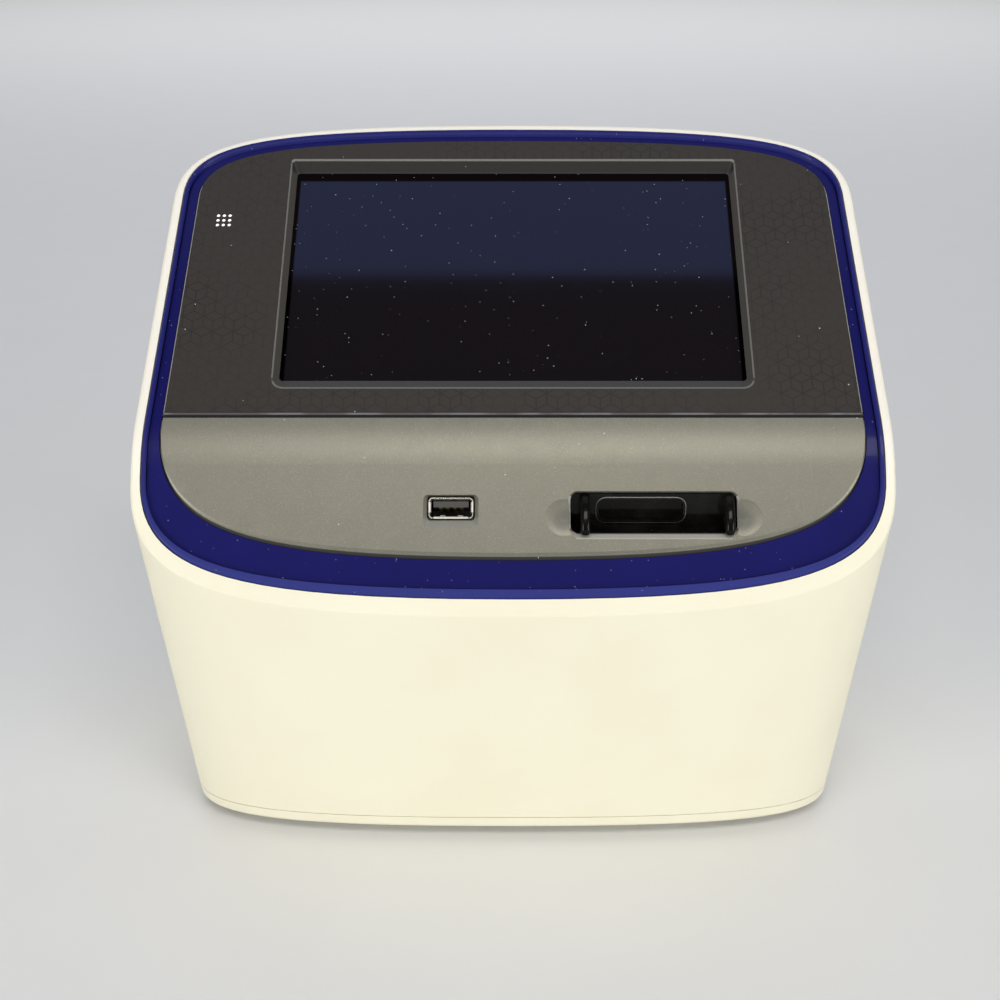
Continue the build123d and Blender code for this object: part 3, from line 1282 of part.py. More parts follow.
def make_focus_carriage():
    half = FOCUS_BLOCK_WIDTH / 2
    top = FOCUS_BLOCK_BOTTOM_Z + FOCUS_BLOCK_HEIGHT
    rear = TOWER_FRONT_Y - BLOCK_GAP
    front = TOWER_FRONT_Y - GUIDE_DEPTH - FOCUS_BLOCK_DEPTH
    low = FOCUS_BLOCK_BOTTOM_Z
    block = box_between(SLIDE_X - half, SLIDE_X + half, front, rear, low, top)
    block -= box_between(
        SLIDE_X - GUIDE_WIDTH / 2 - RUNNING, SLIDE_X + GUIDE_WIDTH / 2 + RUNNING,
        TOWER_FRONT_Y - GUIDE_DEPTH - RUNNING, rear + 1, low - 1, top + 1,
    )
    ring_low = low + (FOCUS_BLOCK_HEIGHT - CLAMP_HEIGHT) / 2
    ring_top = ring_low + CLAMP_HEIGHT
    outer = BARREL_RADIUS + CLAMP_WALL
    block += rod_z(SLIDE_X, OPTIC_Y, ring_low, ring_top, outer)
    block += box_between(SLIDE_X - half / 2, SLIDE_X + half / 2, OPTIC_Y, front + 1, ring_low, ring_top)
    block -= rod_z(SLIDE_X, OPTIC_Y, low - 1, top + 1, BARREL_RADIUS + SEAT)
    lug = NUT_HALF * 2
    block += box_between(
        SLIDE_X + half - 1, FOCUS_SCREW_X + NUT_HALF, front, rear - LUG_GAP, ring_low, ring_low + lug
    )
    block += box_between(
        FOCUS_SCREW_X - NUT_HALF, FOCUS_SCREW_X + NUT_HALF, front, FOCUS_SCREW_Y + NUT_HALF,
        ring_low, ring_low + lug,
    )
    return block - rod_z(FOCUS_SCREW_X, FOCUS_SCREW_Y, low - 1, top + 1, SCREW_RADIUS + RUNNING)


def make_objective():
    barrel = rod_z(SLIDE_X, OPTIC_Y, BARREL_BOTTOM_Z, BARREL_TOP_Z, BARREL_RADIUS)
    cone = extrude_cone(BARREL_RADIUS, NOSE_RADIUS, NOSE_TOP_Z - BARREL_TOP_Z)
    barrel += Pos(SLIDE_X, OPTIC_Y, BARREL_TOP_Z) * cone
    for i in range(GRIP_RINGS):
        z = BARREL_BOTTOM_Z + (i + 1) * GRIP_PITCH
        band = rod_z(SLIDE_X, OPTIC_Y, z, z + GRIP_WIDTH, BARREL_RADIUS + 1)
        barrel -= band - rod_z(SLIDE_X, OPTIC_Y, z, z + GRIP_WIDTH, BARREL_RADIUS - GRIP_DEPTH)
    return barrel - rod_z(SLIDE_X, OPTIC_Y, BARREL_BOTTOM_Z - 1, NOSE_TOP_Z + 1, NOSE_RADIUS - NOSE_WALL)


def extrude_cone(low_radius, high_radius, height):
    return Pos(0, 0, height / 2) * Cone(low_radius, high_radius, height)


def make_objective_lens():
    top = NOSE_TOP_Z - FRONT_LENS_SUNK
    lens = rod_z(SLIDE_X, OPTIC_Y, top - FRONT_LENS_THICK, top, NOSE_RADIUS - NOSE_WALL - SEAT)
    return fillet(lens.edges().group_by(Axis.Z)[-1], FRONT_LENS_THICK / 4)


def make_motor():
    """A small stepper: its mounting face is at the origin and its shaft points up +Z."""
    body = Pos(0, 0, -MOTOR_LENGTH / 2) * Box(MOTOR, MOTOR, MOTOR_LENGTH)
    body = chamfer(body.edges().filter_by(Axis.Z), MOTOR_CHAMFER)
    for z in (-MOTOR_LENGTH / 4, -3 * MOTOR_LENGTH / 4):
        core = MOTOR - 2 * MOTOR_GROOVE_DEPTH
        groove = Box(MOTOR + 1, MOTOR + 1, MOTOR_GROOVE) - Box(core, core, MOTOR_GROOVE)
        body -= Pos(0, 0, z) * groove
    return body


def make_lead_screw(length):
    """A lead screw with its coupling, along +Z, standing clear of the motor's face."""
    screw = Pos(0, 0, COUPLER_LENGTH / 2 + FIT) * Cylinder(COUPLER_RADIUS, COUPLER_LENGTH)
    slot = Box(2 * COUPLER_SLOT_DEPTH, COUPLER_SLOT, COUPLER_LENGTH)
    screw -= Pos(COUPLER_RADIUS, 0, COUPLER_LENGTH / 2) * slot
    return screw + Pos(0, 0, length / 2 + FIT) * Cylinder(SCREW_RADIUS, length)


FOCUS_MOTOR_PLACE = Pos(FOCUS_SCREW_X, FOCUS_SCREW_Y, FLANGE_Z)
FOCUS_SCREW_TOP = FOCUS_BLOCK_BOTTOM_Z + FOCUS_BLOCK_HEIGHT + 2 * FOCUS_TRAVEL


# ================================================================ light-cube shuttle
SHUTTLE_LENGTH = SHUTTLE_POSITIONS * CUBE_PITCH
SHUTTLE_TRAVEL = CUBE_PITCH
SHUTTLE_LEFT_X = SLIDE_X - SHUTTLE_LENGTH / 2
SHUTTLE_MOTOR_X = ROD_LEFT_X - BRACKET_THICK - COUPLER_LENGTH - 2 * FIT
ROD_FRONT_Y = OPTIC_Y - ROD_SPREAD
ROD_REAR_Y = OPTIC_Y + ROD_SPREAD
ROD_RIGHT_X = SHUTTLE_LEFT_X + SHUTTLE_LENGTH + SHUTTLE_TRAVEL + ROD_END_ROOM
SHUTTLE_FRONT_Y = ROD_FRONT_Y - BUSH_HALF
SHUTTLE_REAR_Y = ROD_REAR_Y + BUSH_HALF


def make_guide_rods():
    return [
        rod_x(ROD_LEFT_X - BRACKET_THICK, ROD_RIGHT_X + BRACKET_THICK, y, ROD_Z, ROD_RADIUS)
        for y in (ROD_FRONT_Y, ROD_REAR_Y)
    ]


def make_rod_brackets():
    """Two upright brackets with forward arms; each stands on the chassis plate."""
    top = ROD_Z + BUSH_HALF
    front = ROD_FRONT_Y - BUSH_HALF
    rear = ROD_REAR_Y + BUSH_HALF
    arm = ROD_Z - 2 * BUSH_HALF
    leg = ROD_FRONT_Y + BRACKET_LEG_SETBACK
    points = [
        (rear, CHASSIS_TOP), (rear, top), (front, top), (front, arm),
        (leg, CHASSIS_TOP + BRACKET_LEG_RISE), (leg, CHASSIS_TOP),
    ]
    profile = make_face(Polyline(*points, close=True))
    brackets = []
    for x in (ROD_LEFT_X - BRACKET_THICK, ROD_RIGHT_X):
        plane = Plane(origin=(x, 0, 0), x_dir=(0, 1, 0), z_dir=(1, 0, 0))
        bracket = extrude(plane * profile, amount=BRACKET_THICK)
        foot_x = x if x < SLIDE_X else x - BRACKET_FOOT
        bracket += box_between(
            foot_x, foot_x + BRACKET_THICK + BRACKET_FOOT, leg, rear,
            CHASSIS_TOP, CHASSIS_TOP + BRACKET_FOOT_THICK,
        )
        for y in (ROD_FRONT_Y, ROD_REAR_Y):
            bracket -= rod_x(x - 1, x + BRACKET_THICK + 1, y, ROD_Z, ROD_RADIUS + SEAT)
        brackets.append(bracket)
    return brackets


def make_cube_shuttle():
    left = SHUTTLE_LEFT_X
    right = left + SHUTTLE_LENGTH
    top = SHUTTLE_Z + SHUTTLE_THICK
    plate = box_between(left, right, SHUTTLE_FRONT_Y, SHUTTLE_REAR_Y, SHUTTLE_Z, top)
    for y in (ROD_FRONT_Y, ROD_REAR_Y):
        plate += box_between(left, right, y - BUSH_HALF, y + BUSH_HALF, ROD_Z - BUSH_HALF, SHUTTLE_Z + 1)
        plate -= rod_x(left - 1, right + 1, y, ROD_Z, ROD_RADIUS + RUNNING)
    for i in range(SHUTTLE_POSITIONS):
        x = left + CUBE_PITCH * (i + 0.5)
        plate -= rod_z(x, OPTIC_Y, ROD_Z, top + 1, CUBE_BORE)
    plate += box_between(
        left, left + NUT_LENGTH, SHUTTLE_SCREW_Y - NUT_HALF, SHUTTLE_FRONT_Y + 1,
        SHUTTLE_SCREW_Z - NUT_HALF, SHUTTLE_SCREW_Z + NUT_HALF,
    )
    bore = SCREW_RADIUS + RUNNING
    return plate - rod_x(left - 1, left + NUT_LENGTH + 1, SHUTTLE_SCREW_Y, SHUTTLE_SCREW_Z, bore)


def make_light_cube(index):
    x = SHUTTLE_LEFT_X + CUBE_PITCH * (index + 0.5)
    low = SHUTTLE_Z + SHUTTLE_THICK
    cube = Box(CUBE_WIDTH, CUBE_DEPTH, CUBE_HEIGHT)
    cube = chamfer(cube.edges().filter_by(Axis.Z), CUBE_CHAMFER)
    cube = Pos(x, OPTIC_Y, low + CUBE_HEIGHT / 2) * cube
    cube -= rod_z(x, OPTIC_Y, low - 1, low + CUBE_HEIGHT + 1, CUBE_BORE - 1)
    middle = low + CUBE_HEIGHT / 2
    return cube - rod_y(x, OPTIC_Y, OPTIC_Y + CUBE_DEPTH, middle, CUBE_BORE - 1)


def make_beam_splitters():
    """The slanted coated glass inside each light cube."""
    plates = []
    low = SHUTTLE_Z + SHUTTLE_THICK
    for index in (1, 2):
        x = SHUTTLE_LEFT_X + CUBE_PITCH * (index + 0.5)
        radius = CUBE_BORE - 1 - FIT
        glass = Rot(45, 0, 0) * Box(2 * radius, 3 * radius, SPLITTER_THICK)
        glass = Pos(x, OPTIC_Y, low + CUBE_HEIGHT / 2) * glass
        plates.append(glass & rod_z(x, OPTIC_Y, low, low + CUBE_HEIGHT, radius))
    return plates


def make_screw_bearing():
    """End bearing of the shuttle's lead screw, on a post that stands on the camera case."""
    x = SHUTTLE_SCREW_RIGHT_X
    end = x + BRACKET_THICK
    top = SHUTTLE_SCREW_Z + NUT_HALF
    front = SHUTTLE_SCREW_Y - NUT_HALF
    rear = SHUTTLE_SCREW_Y + NUT_HALF
    post = box_between(x, end, front, rear, CAMERA_TOP_Z, top)
    return post - rod_x(x - 1, end + 1, SHUTTLE_SCREW_Y, SHUTTLE_SCREW_Z, SCREW_RADIUS + RUNNING)


def make_motor_bracket():
    """Upright plate that the shuttle's motor is flanged to."""
    x = SHUTTLE_MOTOR_X
    half = MOTOR / 2
    top = SHUTTLE_SCREW_Z + half
    rear = SHUTTLE_SCREW_Y + half
    plate = box_between(x, x + BRACKET_THICK, SHUTTLE_SCREW_Y - half, rear, SHUTTLE_SCREW_Z - half, top)
    plate += box_between(x, x + BRACKET_THICK, rear - MOTOR_BRACKET_LEG, rear, CHASSIS_TOP, top)
    plate += box_between(
        x - MOTOR_BRACKET_FOOT, x + BRACKET_THICK, rear - MOTOR_BRACKET_FOOT_WIDTH, rear,
        CHASSIS_TOP, CHASSIS_TOP + BRACKET_FOOT_THICK,
    )
    return plate - rod_x(x - 1, x + BRACKET_THICK + 1, SHUTTLE_SCREW_Y, SHUTTLE_SCREW_Z, COUPLER_RADIUS + 1)


def make_tube_lens():
    tube = rod_z(SLIDE_X, OPTIC_Y, CAMERA_TOP_Z, TUBE_TOP_Z, TUBE_RADIUS)
    tube += rod_z(SLIDE_X, OPTIC_Y, CAMERA_TOP_Z, CAMERA_TOP_Z + TUBE_FLANGE, TUBE_RADIUS + TUBE_FLANGE)
    return tube - rod_z(SLIDE_X, OPTIC_Y, CAMERA_TOP_Z - 1, TUBE_TOP_Z + 1, TUBE_RADIUS - TUBE_WALL)


def make_tube_glass():
    top = TUBE_TOP_Z - TUBE_GLASS_SUNK
    lens = rod_z(SLIDE_X, OPTIC_Y, top - TUBE_GLASS_THICK, top, TUBE_RADIUS - TUBE_WALL - SEAT)
    return fillet(lens.edges().group_by(Axis.Z)[-1], TUBE_GLASS_THICK / 3)


def make_camera_case():
    half = CAMERA_SIDE / 2
    case = box_between(
        SLIDE_X - half, SLIDE_X + half, OPTIC_Y - half, OPTIC_Y + half, CHASSIS_TOP, CAMERA_TOP_Z
    )
    case = fillet(case.edges().filter_by(Axis.Z), CAMERA_CORNER)
    inner = half - CAMERA_WALL
    case -= box_between(
        SLIDE_X - inner, SLIDE_X + inner, OPTIC_Y - inner, OPTIC_Y + inner,
        CHASSIS_TOP - 1, CAMERA_TOP_Z - CAMERA_WALL,
    )
    return case - rod_z(SLIDE_X, OPTIC_Y, CHASSIS_TOP, CAMERA_TOP_Z + 1, TUBE_RADIUS - TUBE_WALL)


def make_camera_board():
    half = CAMERA_SIDE / 2 - CAMERA_WALL - FIT
    low = CHASSIS_TOP
    return box_between(SLIDE_X - half, SLIDE_X + half, OPTIC_Y - half, OPTIC_Y + half, low, low + BOARD)


def make_image_sensor():
    low = CHASSIS_TOP + BOARD
    return Pos(SLIDE_X, OPTIC_Y, low + SENSOR_THICK / 2) * Box(SENSOR_SIDE, SENSOR_SIDE, SENSOR_THICK)


# ================================================================ base and rear
def make_chassis_plate():
    plate = housing_core(CHASSIS_INSET) & slab(CHASSIS_Z + SEAT, CHASSIS_TOP)
    for x, y in POSTS:
        plate -= rod_z(x, y, CHASSIS_Z - 1, CHASSIS_TOP + 1, BOSS_RADIUS + 1)
    for i in range(FLOOR_SLOTS):
        x = PLATE_SLOT_X + (i - (FLOOR_SLOTS - 1) / 2) * FLOOR_SLOT_PITCH
        half = FLOOR_SLOT_WIDTH / 2
        tall = PLATE_SLOT_LENGTH / 2
        plate -= box_between(
            x - half, x + half, PLATE_SLOT_Y - tall, PLATE_SLOT_Y + tall, CHASSIS_Z - 1, CHASSIS_TOP + 1
        )
    for x, y in FEET:
        plate -= rod_z(x, y, CHASSIS_Z - 1, CHASSIS_TOP + 1, SHANK_RADIUS + FIT)
    return plate


def make_cube_door():
    door = (housing_core(0) - housing_core(DOOR_THICK)) & door_box(0)
    front = BASE_REAR_Y / 2
    door = door & box_between(-2 * DOOR_WIDTH, 2 * DOOR_WIDTH, front, 2 * BASE_REAR_Y, 0, LOFT_TOP_Z)
    for x, z in door_screw_places():
        door -= rod_y(x, 0, 2 * BASE_REAR_Y, z, SHANK_RADIUS + FIT)
        door -= rod_y(x, door_screw_seat(x, z), 2 * BASE_REAR_Y, z, HEAD_RADIUS + FIT)
    return door


def make_door_screws():
    screws = []
    for x, z in door_screw_places():
        head = door_screw_seat(x, z) + HEAD_HEIGHT + SEAT
        screw = make_screw(HEAD_RADIUS, HEAD_HEIGHT, SHANK_RADIUS, WALL)
        screw = Pos(x, head, z) * Rot(90, 0, 0) * screw
        screws.append(screw)
    return screws


def door_screw_seat(x, z):
    """Level of the sunk seat under a door screw's head, where the curved rear wall passes it."""
    side = half_width(BASE_REAR_Y - REAR_CORNER_DEPTH, DOOR_Z)
    share = 1 - (abs(x) / side) ** 3
    curve = REAR_CORNER_DEPTH * (1 - share ** (1 / 3))
    return rear_y(z) - curve - DOOR_THICK / 2


def rocker_cutout(margin):
    wide = ROCKER_WIDTH / 2 + ROCKER_FRAME + margin
    tall = ROCKER_HEIGHT / 2 + ROCKER_FRAME + margin
    return box_between(
        ROCKER_X - wide, ROCKER_X + wide, 0, 2 * BASE_REAR_Y, WELL_Z - tall, WELL_Z + tall
    )


def make_rocker_frame():
    """Switch body with an outer lip, a pocket for the rocker and bores for its pivot pins."""
    y = WELL_FLOOR_Y
    wide = ROCKER_WIDTH / 2 + ROCKER_FRAME
    tall = ROCKER_HEIGHT / 2 + ROCKER_FRAME
    lip_wide = wide + ROCKER_LIP
    lip_tall = tall + ROCKER_LIP
    body = box_between(
        ROCKER_X - wide, ROCKER_X + wide, y - ROCKER_BODY_DEPTH, y + SEAT, WELL_Z - tall, WELL_Z + tall
    )
    body += box_between(
        ROCKER_X - lip_wide, ROCKER_X + lip_wide, y + SEAT, y + SEAT + ROCKER_LIP_THICK,
        WELL_Z - lip_tall, WELL_Z + lip_tall,
    )
    gap = ROCKER_SIDE_GAP - ROCKER_CLEAR / 2
    pocket_wide = ROCKER_WIDTH / 2 + gap
    pocket_tall = ROCKER_HEIGHT / 2 + gap
    body -= box_between(
        ROCKER_X - pocket_wide, ROCKER_X + pocket_wide, y - ROCKER_POCKET, y + WELL_FLOOR,
        WELL_Z - pocket_tall, WELL_Z + pocket_tall,
    )
    reach = pocket_wide + ROCKER_PIN_REACH
    bore = ROCKER_PIN_RADIUS + ROCKER_PIN_CLEAR
    body -= rod_x(ROCKER_X - reach, ROCKER_X + reach, ROCKER_PIVOT_Y, WELL_Z, bore)
    back = y - ROCKER_BODY_DEPTH
    for x in (ROCKER_X - TAB_X, ROCKER_X + TAB_X):
        body += box_between(
            x - TAB_THICK / 2, x + TAB_THICK / 2, back - TAB_LENGTH, back + 1,
            WELL_Z - TAB_WIDTH / 2, WELL_Z + TAB_WIDTH / 2,
        )
    return body


def make_power_rocker():
    """Rocker in its off position: a shallow V seen from the side, turning on two stub pins."""
    half = ROCKER_HEIGHT / 2 - ROCKER_CLEAR
    face = ROCKER_PIVOT_Y + ROCKER_FACE
    back = ROCKER_PIVOT_Y - ROCKER_BACK
    shoulder = ROCKER_PIVOT_Y - ROCKER_SHOULDER
    dip = half * math.tan(math.radians(ROCKER_SWING / 2)) + ROCKER_CLEAR / 2
    points = [
        (back, WELL_Z), (shoulder, WELL_Z - half + ROCKER_SHOULDER), (face - dip, WELL_Z - half),
        (face, WELL_Z), (face - dip, WELL_Z + half), (shoulder, WELL_Z + half - ROCKER_SHOULDER),
    ]
    profile = make_face(Polyline(*points, close=True))
    plane = Plane(origin=(ROCKER_X, 0, 0), x_dir=(0, 1, 0), z_dir=(1, 0, 0))
    wide = ROCKER_WIDTH / 2 - ROCKER_CLEAR / 2
    rocker = extrude(plane * profile, amount=wide, both=True)
    reach = ROCKER_WIDTH / 2 + ROCKER_SIDE_GAP - ROCKER_CLEAR / 2 + ROCKER_PIN_REACH - ROCKER_CLEAR
    rocker += rod_x(ROCKER_X - reach, ROCKER_X + reach, ROCKER_PIVOT_Y, WELL_Z, ROCKER_PIN_RADIUS)
    turn = Pos(0, ROCKER_PIVOT_Y, WELL_Z) * Rot(-ROCKER_SWING / 2, 0, 0) * Pos(0, -ROCKER_PIVOT_Y, -WELL_Z)
    return turn * rocker


def make_dc_jack():
    y = WELL_FLOOR_Y - WELL_FLOOR
    half = JACK_BODY / 2
    body = box_between(JACK_X - half, JACK_X + half, y - JACK_LENGTH, y - SEAT, WELL_Z - half, WELL_Z + half)
    body += rod_y(JACK_X, y - 1, WELL_FLOOR_Y + JACK_PROUD, WELL_Z, half - ROCKER_CLEAR - FIT)
    return body - rod_y(JACK_X, y - JACK_LENGTH + JACK_BACK_WALL, WELL_FLOOR_Y + 1, WELL_Z, JACK_BORE)


def make_jack_pin():
    y = WELL_FLOOR_Y - WELL_FLOOR
    return rod_y(JACK_X, y - JACK_LENGTH + JACK_BACK_WALL, WELL_FLOOR_Y - JACK_PIN_SUNK, WELL_Z, JACK_PIN)


def make_power_board():
    y = WELL_FLOOR_Y - WELL_FLOOR - SEAT
    top = WELL_Z - JACK_BODY / 2
    left = JACK_X - JACK_BODY
    return box_between(left, left + POWER_BOARD_WIDTH, y - POWER_BOARD_DEPTH, y, top - BOARD, top)


def make_board_posts():
    top = WELL_Z - JACK_BODY / 2 - BOARD
    y = WELL_FLOOR_Y - WELL_FLOOR - SEAT
    x0 = JACK_X - JACK_BODY
    return [
        rod_z(x, py, CHASSIS_TOP, top, STANDOFF_RADIUS)
        for x in (x0 + POST_INSET, x0 + POWER_BOARD_WIDTH - POST_INSET)
        for py in (y - POWER_BOARD_DEPTH + POST_INSET, y - 2 * POST_INSET)
    ]


# ================================================================ write every node
def write(name, shape):
    """Writes one node; a list becomes one file of separate solids."""
    if isinstance(shape, (list, tuple)):
        shape = Compound(children=[Part() + s for s in shape])
    export_step(shape, f"parts/{name}.step")


focus_motor = FOCUS_MOTOR_PLACE * make_motor()
focus_screw = FOCUS_MOTOR_PLACE * make_lead_screw(FOCUS_SCREW_TOP - FLANGE_Z)
SHUTTLE_TURN = Pos(SHUTTLE_MOTOR_X, SHUTTLE_SCREW_Y, SHUTTLE_SCREW_Z) * Rot(0, 90, 0)
shuttle_motor = SHUTTLE_TURN * make_motor()
shuttle_screw = SHUTTLE_TURN * make_lead_screw(
    SHUTTLE_SCREW_RIGHT_X + BRACKET_THICK - SHUTTLE_MOTOR_X
)

NODES = {
    "main_shell": make_main_shell,
    "bottom_cover": make_bottom_cover,
    "rubber_feet": make_rubber_feet,
    "cover_screws": make_cover_screws,
    "trim_ring": make_trim_ring,
    "upper_bezel": make_upper_bezel,
    "lower_bezel": make_lower_bezel,
    "touch_glass": make_touch_glass,
    "display_panel": make_display_panel,
    "display_tray": make_display_tray,
    "board_standoffs": make_board_standoffs,
    "mainboard": make_mainboard,
    "heat_sink": make_heat_sink,
    "indicator_guide": make_indicator_guide,
    "indicator_board": make_indicator_board,
    "usb_shell": make_usb_shell,
    "usb_tongue": make_usb_tongue,
    "usb_contacts": make_usb_contacts,
    "usb_board": make_usb_board,
    "slide_port": make_slide_port,
    "flap_pin": make_flap_pin,
    "light_flap": make_light_flap,
    "slide_stage": make_slide_stage,
    "slide_carriage": make_slide_carriage,
    "carriage_spring": make_carriage_spring,
    "optics_tower": make_optics_tower,
    "illuminator_arm": make_illuminator_arm,
    "condenser_lens": make_condenser_lens,
    "led_board": make_led_board,
    "focus_guide": make_focus_guide,
    "focus_carriage": make_focus_carriage,
    "objective": make_objective,
    "objective_lens": make_objective_lens,
    "focus_motor": lambda: focus_motor,
    "focus_screw": lambda: focus_screw,
    "guide_rods": make_guide_rods,
    "rod_brackets": make_rod_brackets,
    "cube_shuttle": make_cube_shuttle,
    "light_cube_a": lambda: make_light_cube(1),
    "light_cube_b": lambda: make_light_cube(2),
    "beam_splitters": make_beam_splitters,
    "shuttle_motor": lambda: shuttle_motor,
    "shuttle_screw": lambda: shuttle_screw,
    "screw_bearing": make_screw_bearing,
    "motor_bracket": make_motor_bracket,
    "tube_lens": make_tube_lens,
    "tube_glass": make_tube_glass,
    "camera_case": make_camera_case,
    "camera_board": make_camera_board,
    "image_sensor": make_image_sensor,
    "chassis_plate": make_chassis_plate,
    "cube_door": make_cube_door,
    "door_screws": make_door_screws,
    "rocker_frame": make_rocker_frame,
    "power_rocker": make_power_rocker,
    "dc_jack": make_dc_jack,
    "jack_pin": make_jack_pin,
    "power_board": make_power_board,
    "board_posts": make_board_posts,
}

for name, make in NODES.items():
    write(name, make())
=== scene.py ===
# %% [markdown]
# # A bench-top cell counter: finishes, light and camera
#
# The instrument's shapes come ready from the CAD frame: each part is a closed solid that already has
# its real size and place. What is left to do here is what a paint shop and a product photographer
# would do: give each part its own finish, with its grain, wear and dust, and set up soft light and a
# camera.

# %% Load the frame
import json
import math

import bpy
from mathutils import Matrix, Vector


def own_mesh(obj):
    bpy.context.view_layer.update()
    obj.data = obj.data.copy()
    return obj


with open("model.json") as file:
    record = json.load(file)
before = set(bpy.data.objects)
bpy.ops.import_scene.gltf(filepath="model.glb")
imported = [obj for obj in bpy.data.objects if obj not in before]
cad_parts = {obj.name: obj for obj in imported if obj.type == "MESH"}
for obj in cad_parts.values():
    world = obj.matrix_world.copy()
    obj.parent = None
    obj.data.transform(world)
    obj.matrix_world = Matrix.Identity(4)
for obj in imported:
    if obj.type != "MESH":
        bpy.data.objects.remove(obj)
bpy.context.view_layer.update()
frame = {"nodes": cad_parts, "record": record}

# %% [markdown]
# ## Shader arithmetic
#
# A finish is mostly arithmetic on masks: grain plus specks, times an edge. Wiring Math nodes by hand
# hides that arithmetic, so a Signal wraps one socket, and +, - and * add the nodes. A Finish is one
# material, and its node() method is the only place where a node is made. The three directions of the
# frame have names, because masks ask how far a point lies along one, and which one its surface faces.

# %% Signals and finishes
RIGHT = (1.0, 0.0, 0.0)
BACK = (0.0, 1.0, 0.0)
UP = (0.0, 0.0, 1.0)


class Signal:
    """One socket's value, which takes part in arithmetic."""

    def __init__(self, finish, socket):
        self.finish = finish
        self.socket = socket

    def math(self, operation, *others):
        inputs = dict(enumerate((self, *others)))
        return self.finish.node("ShaderNodeMath", {"operation": operation}, inputs)

    def __add__(self, other):
        return self.math("ADD", other)

    def __sub__(self, other):
        return self.math("SUBTRACT", other)

    def __mul__(self, other):
        return self.math("MULTIPLY", other)

    def __radd__(self, other):
        return self + other

    def __rmul__(self, other):
        return self * other

    def __rsub__(self, other):
        return self * -1.0 + other

    def __lt__(self, other):
        return self.math("LESS_THAN", other)

    def __gt__(self, other):
        return self.math("GREATER_THAN", other)

    def abs(self):
        return self.math("ABSOLUTE")

    def near(self, value, reach):
        """1 where the signal lies within reach of a value."""
        return (self - value).abs() < reach

    def over(self, *others):
        """The highest of the signals, which lays one mask over another."""
        highest = self
        for other in others:
            highest = highest.math("MAXIMUM", other)
        return highest

    def wrapped(self, period):
        """The value within one period, from 0 up to the period."""
        return self.math("WRAP", period, 0.0)

    def ramp(self, low, high):
        """0 at low and 1 at high, with a smooth step between."""
        settings = {"interpolation_type": "SMOOTHSTEP"}
        inputs = {0: self, 1: low, 2: high, 3: 0.0, 4: 1.0}
        return self.finish.node("ShaderNodeMapRange", settings, inputs)


class Finish:
    """A Principled material. Values that are the same all over are set on its own sockets."""

    def __init__(self, name, **sockets):
        self.material = bpy.data.materials.new(name)
        self.material.use_nodes = True
        self.tree = self.material.node_tree
        self.shader = self.tree.nodes["Principled BSDF"]
        self.coordinates = None
        self.normal = None
        for socket, value in sockets.items():
            self.set(socket.replace("_", " "), value)

    def set(self, socket, value):
        target = self.shader.inputs[socket]
        if isinstance(value, Signal):
            self.tree.links.new(value.socket, target)
        elif target.type == "RGBA":
            target.default_value = (*value, 1.0)
        else:
            target.default_value = value

    def node(self, kind, settings=None, inputs=None, output=0):
        made = self.tree.nodes.new(kind)
        for name, value in (settings or {}).items():
            setattr(made, name, value)
        for socket, value in (inputs or {}).items():
            target = made.inputs[socket]
            if isinstance(value, Signal):
                self.tree.links.new(value.socket, target)
            elif target.type == "RGBA" and len(value) == 3:
                target.default_value = (*value, 1.0)
            else:
                target.default_value = value
        return Signal(self, made.outputs[output])

    def place(self):
        """Where the surface point lies in the instrument, in millimetres."""
        if self.coordinates is None:
            metres = self.node("ShaderNodeTexCoord", output="Object")
            settings = {"operation": "SCALE"}
            self.coordinates = self.node("ShaderNodeVectorMath", settings, {0: metres, "Scale": 1000.0})
        return self.coordinates

    def facing(self):
        """The surface's own normal, in the instrument's axes."""
        if self.normal is None:
            self.normal = self.node("ShaderNodeNewGeometry", output="Normal")
        return self.normal

    def along(self, vector, direction):
        """How far a vector reaches along a direction."""
        settings = {"operation": "DOT_PRODUCT"}
        return self.node("ShaderNodeVectorMath", settings, {0: vector, 1: direction}, "Value")

    def noise(self, size, detail=3.0, roughness=0.5, place=None):
        """Clouds of a size in millimetres, from 0 to 1."""
        inputs = {"Vector": place or self.place(), "Scale": 1.0 / size}
        inputs.update({"Detail": detail, "Roughness": roughness})
        return self.node("ShaderNodeTexNoise", {"noise_dimensions": "3D"}, inputs)

    def reach(self, direction):
        """How far the surface point lies along a direction, in millimetres."""
        return self.along(self.place(), direction)

    def faces(self, direction):
        """How much the surface faces a direction: 1 straight towards it, and 0 when it is edge on."""
        return self.along(self.facing(), direction)

    def flat(self, up):
        """Where the surface point lies on a slope: across, and along the slope's upward direction."""
        return self.node("ShaderNodeCombineXYZ", {}, {"X": self.reach(RIGHT), "Y": self.reach(up)})

    def specks(self, size, share, radius, place=None):
        """Round specks: one in each cell of a size, in a share of the cells, of a radius in cells."""
        inputs = {"Vector": place or self.place(), "Scale": 1.0 / size}
        distance = self.node("ShaderNodeTexVoronoi", {"feature": "F1"}, inputs, "Distance")
        chance = self.node("ShaderNodeTexVoronoi", {"feature": "F1"}, inputs, "Color")
        drawn = self.node("ShaderNodeSeparateColor", {}, {0: chance}, "Red")
        size_of_speck = self.node("ShaderNodeSeparateColor", {}, {0: chance}, "Green") * radius
        return (drawn < share) * (distance < size_of_speck)

    def blend(self, mask, first, second):
        """The first colour where the mask is 0, and the second where it is 1."""
        settings = {"data_type": "RGBA"}
        return self.node("ShaderNodeMix", settings, {0: mask, 6: first, 7: second}, 2)

    def bump(self, height, distance, strength=1.0):
        """Relief of a height signal, with its full height in millimetres."""
        inputs = {"Height": height, "Distance": distance / 1000.0, "Strength": strength}
        self.set("Normal", self.node("ShaderNodeBump", {}, inputs))


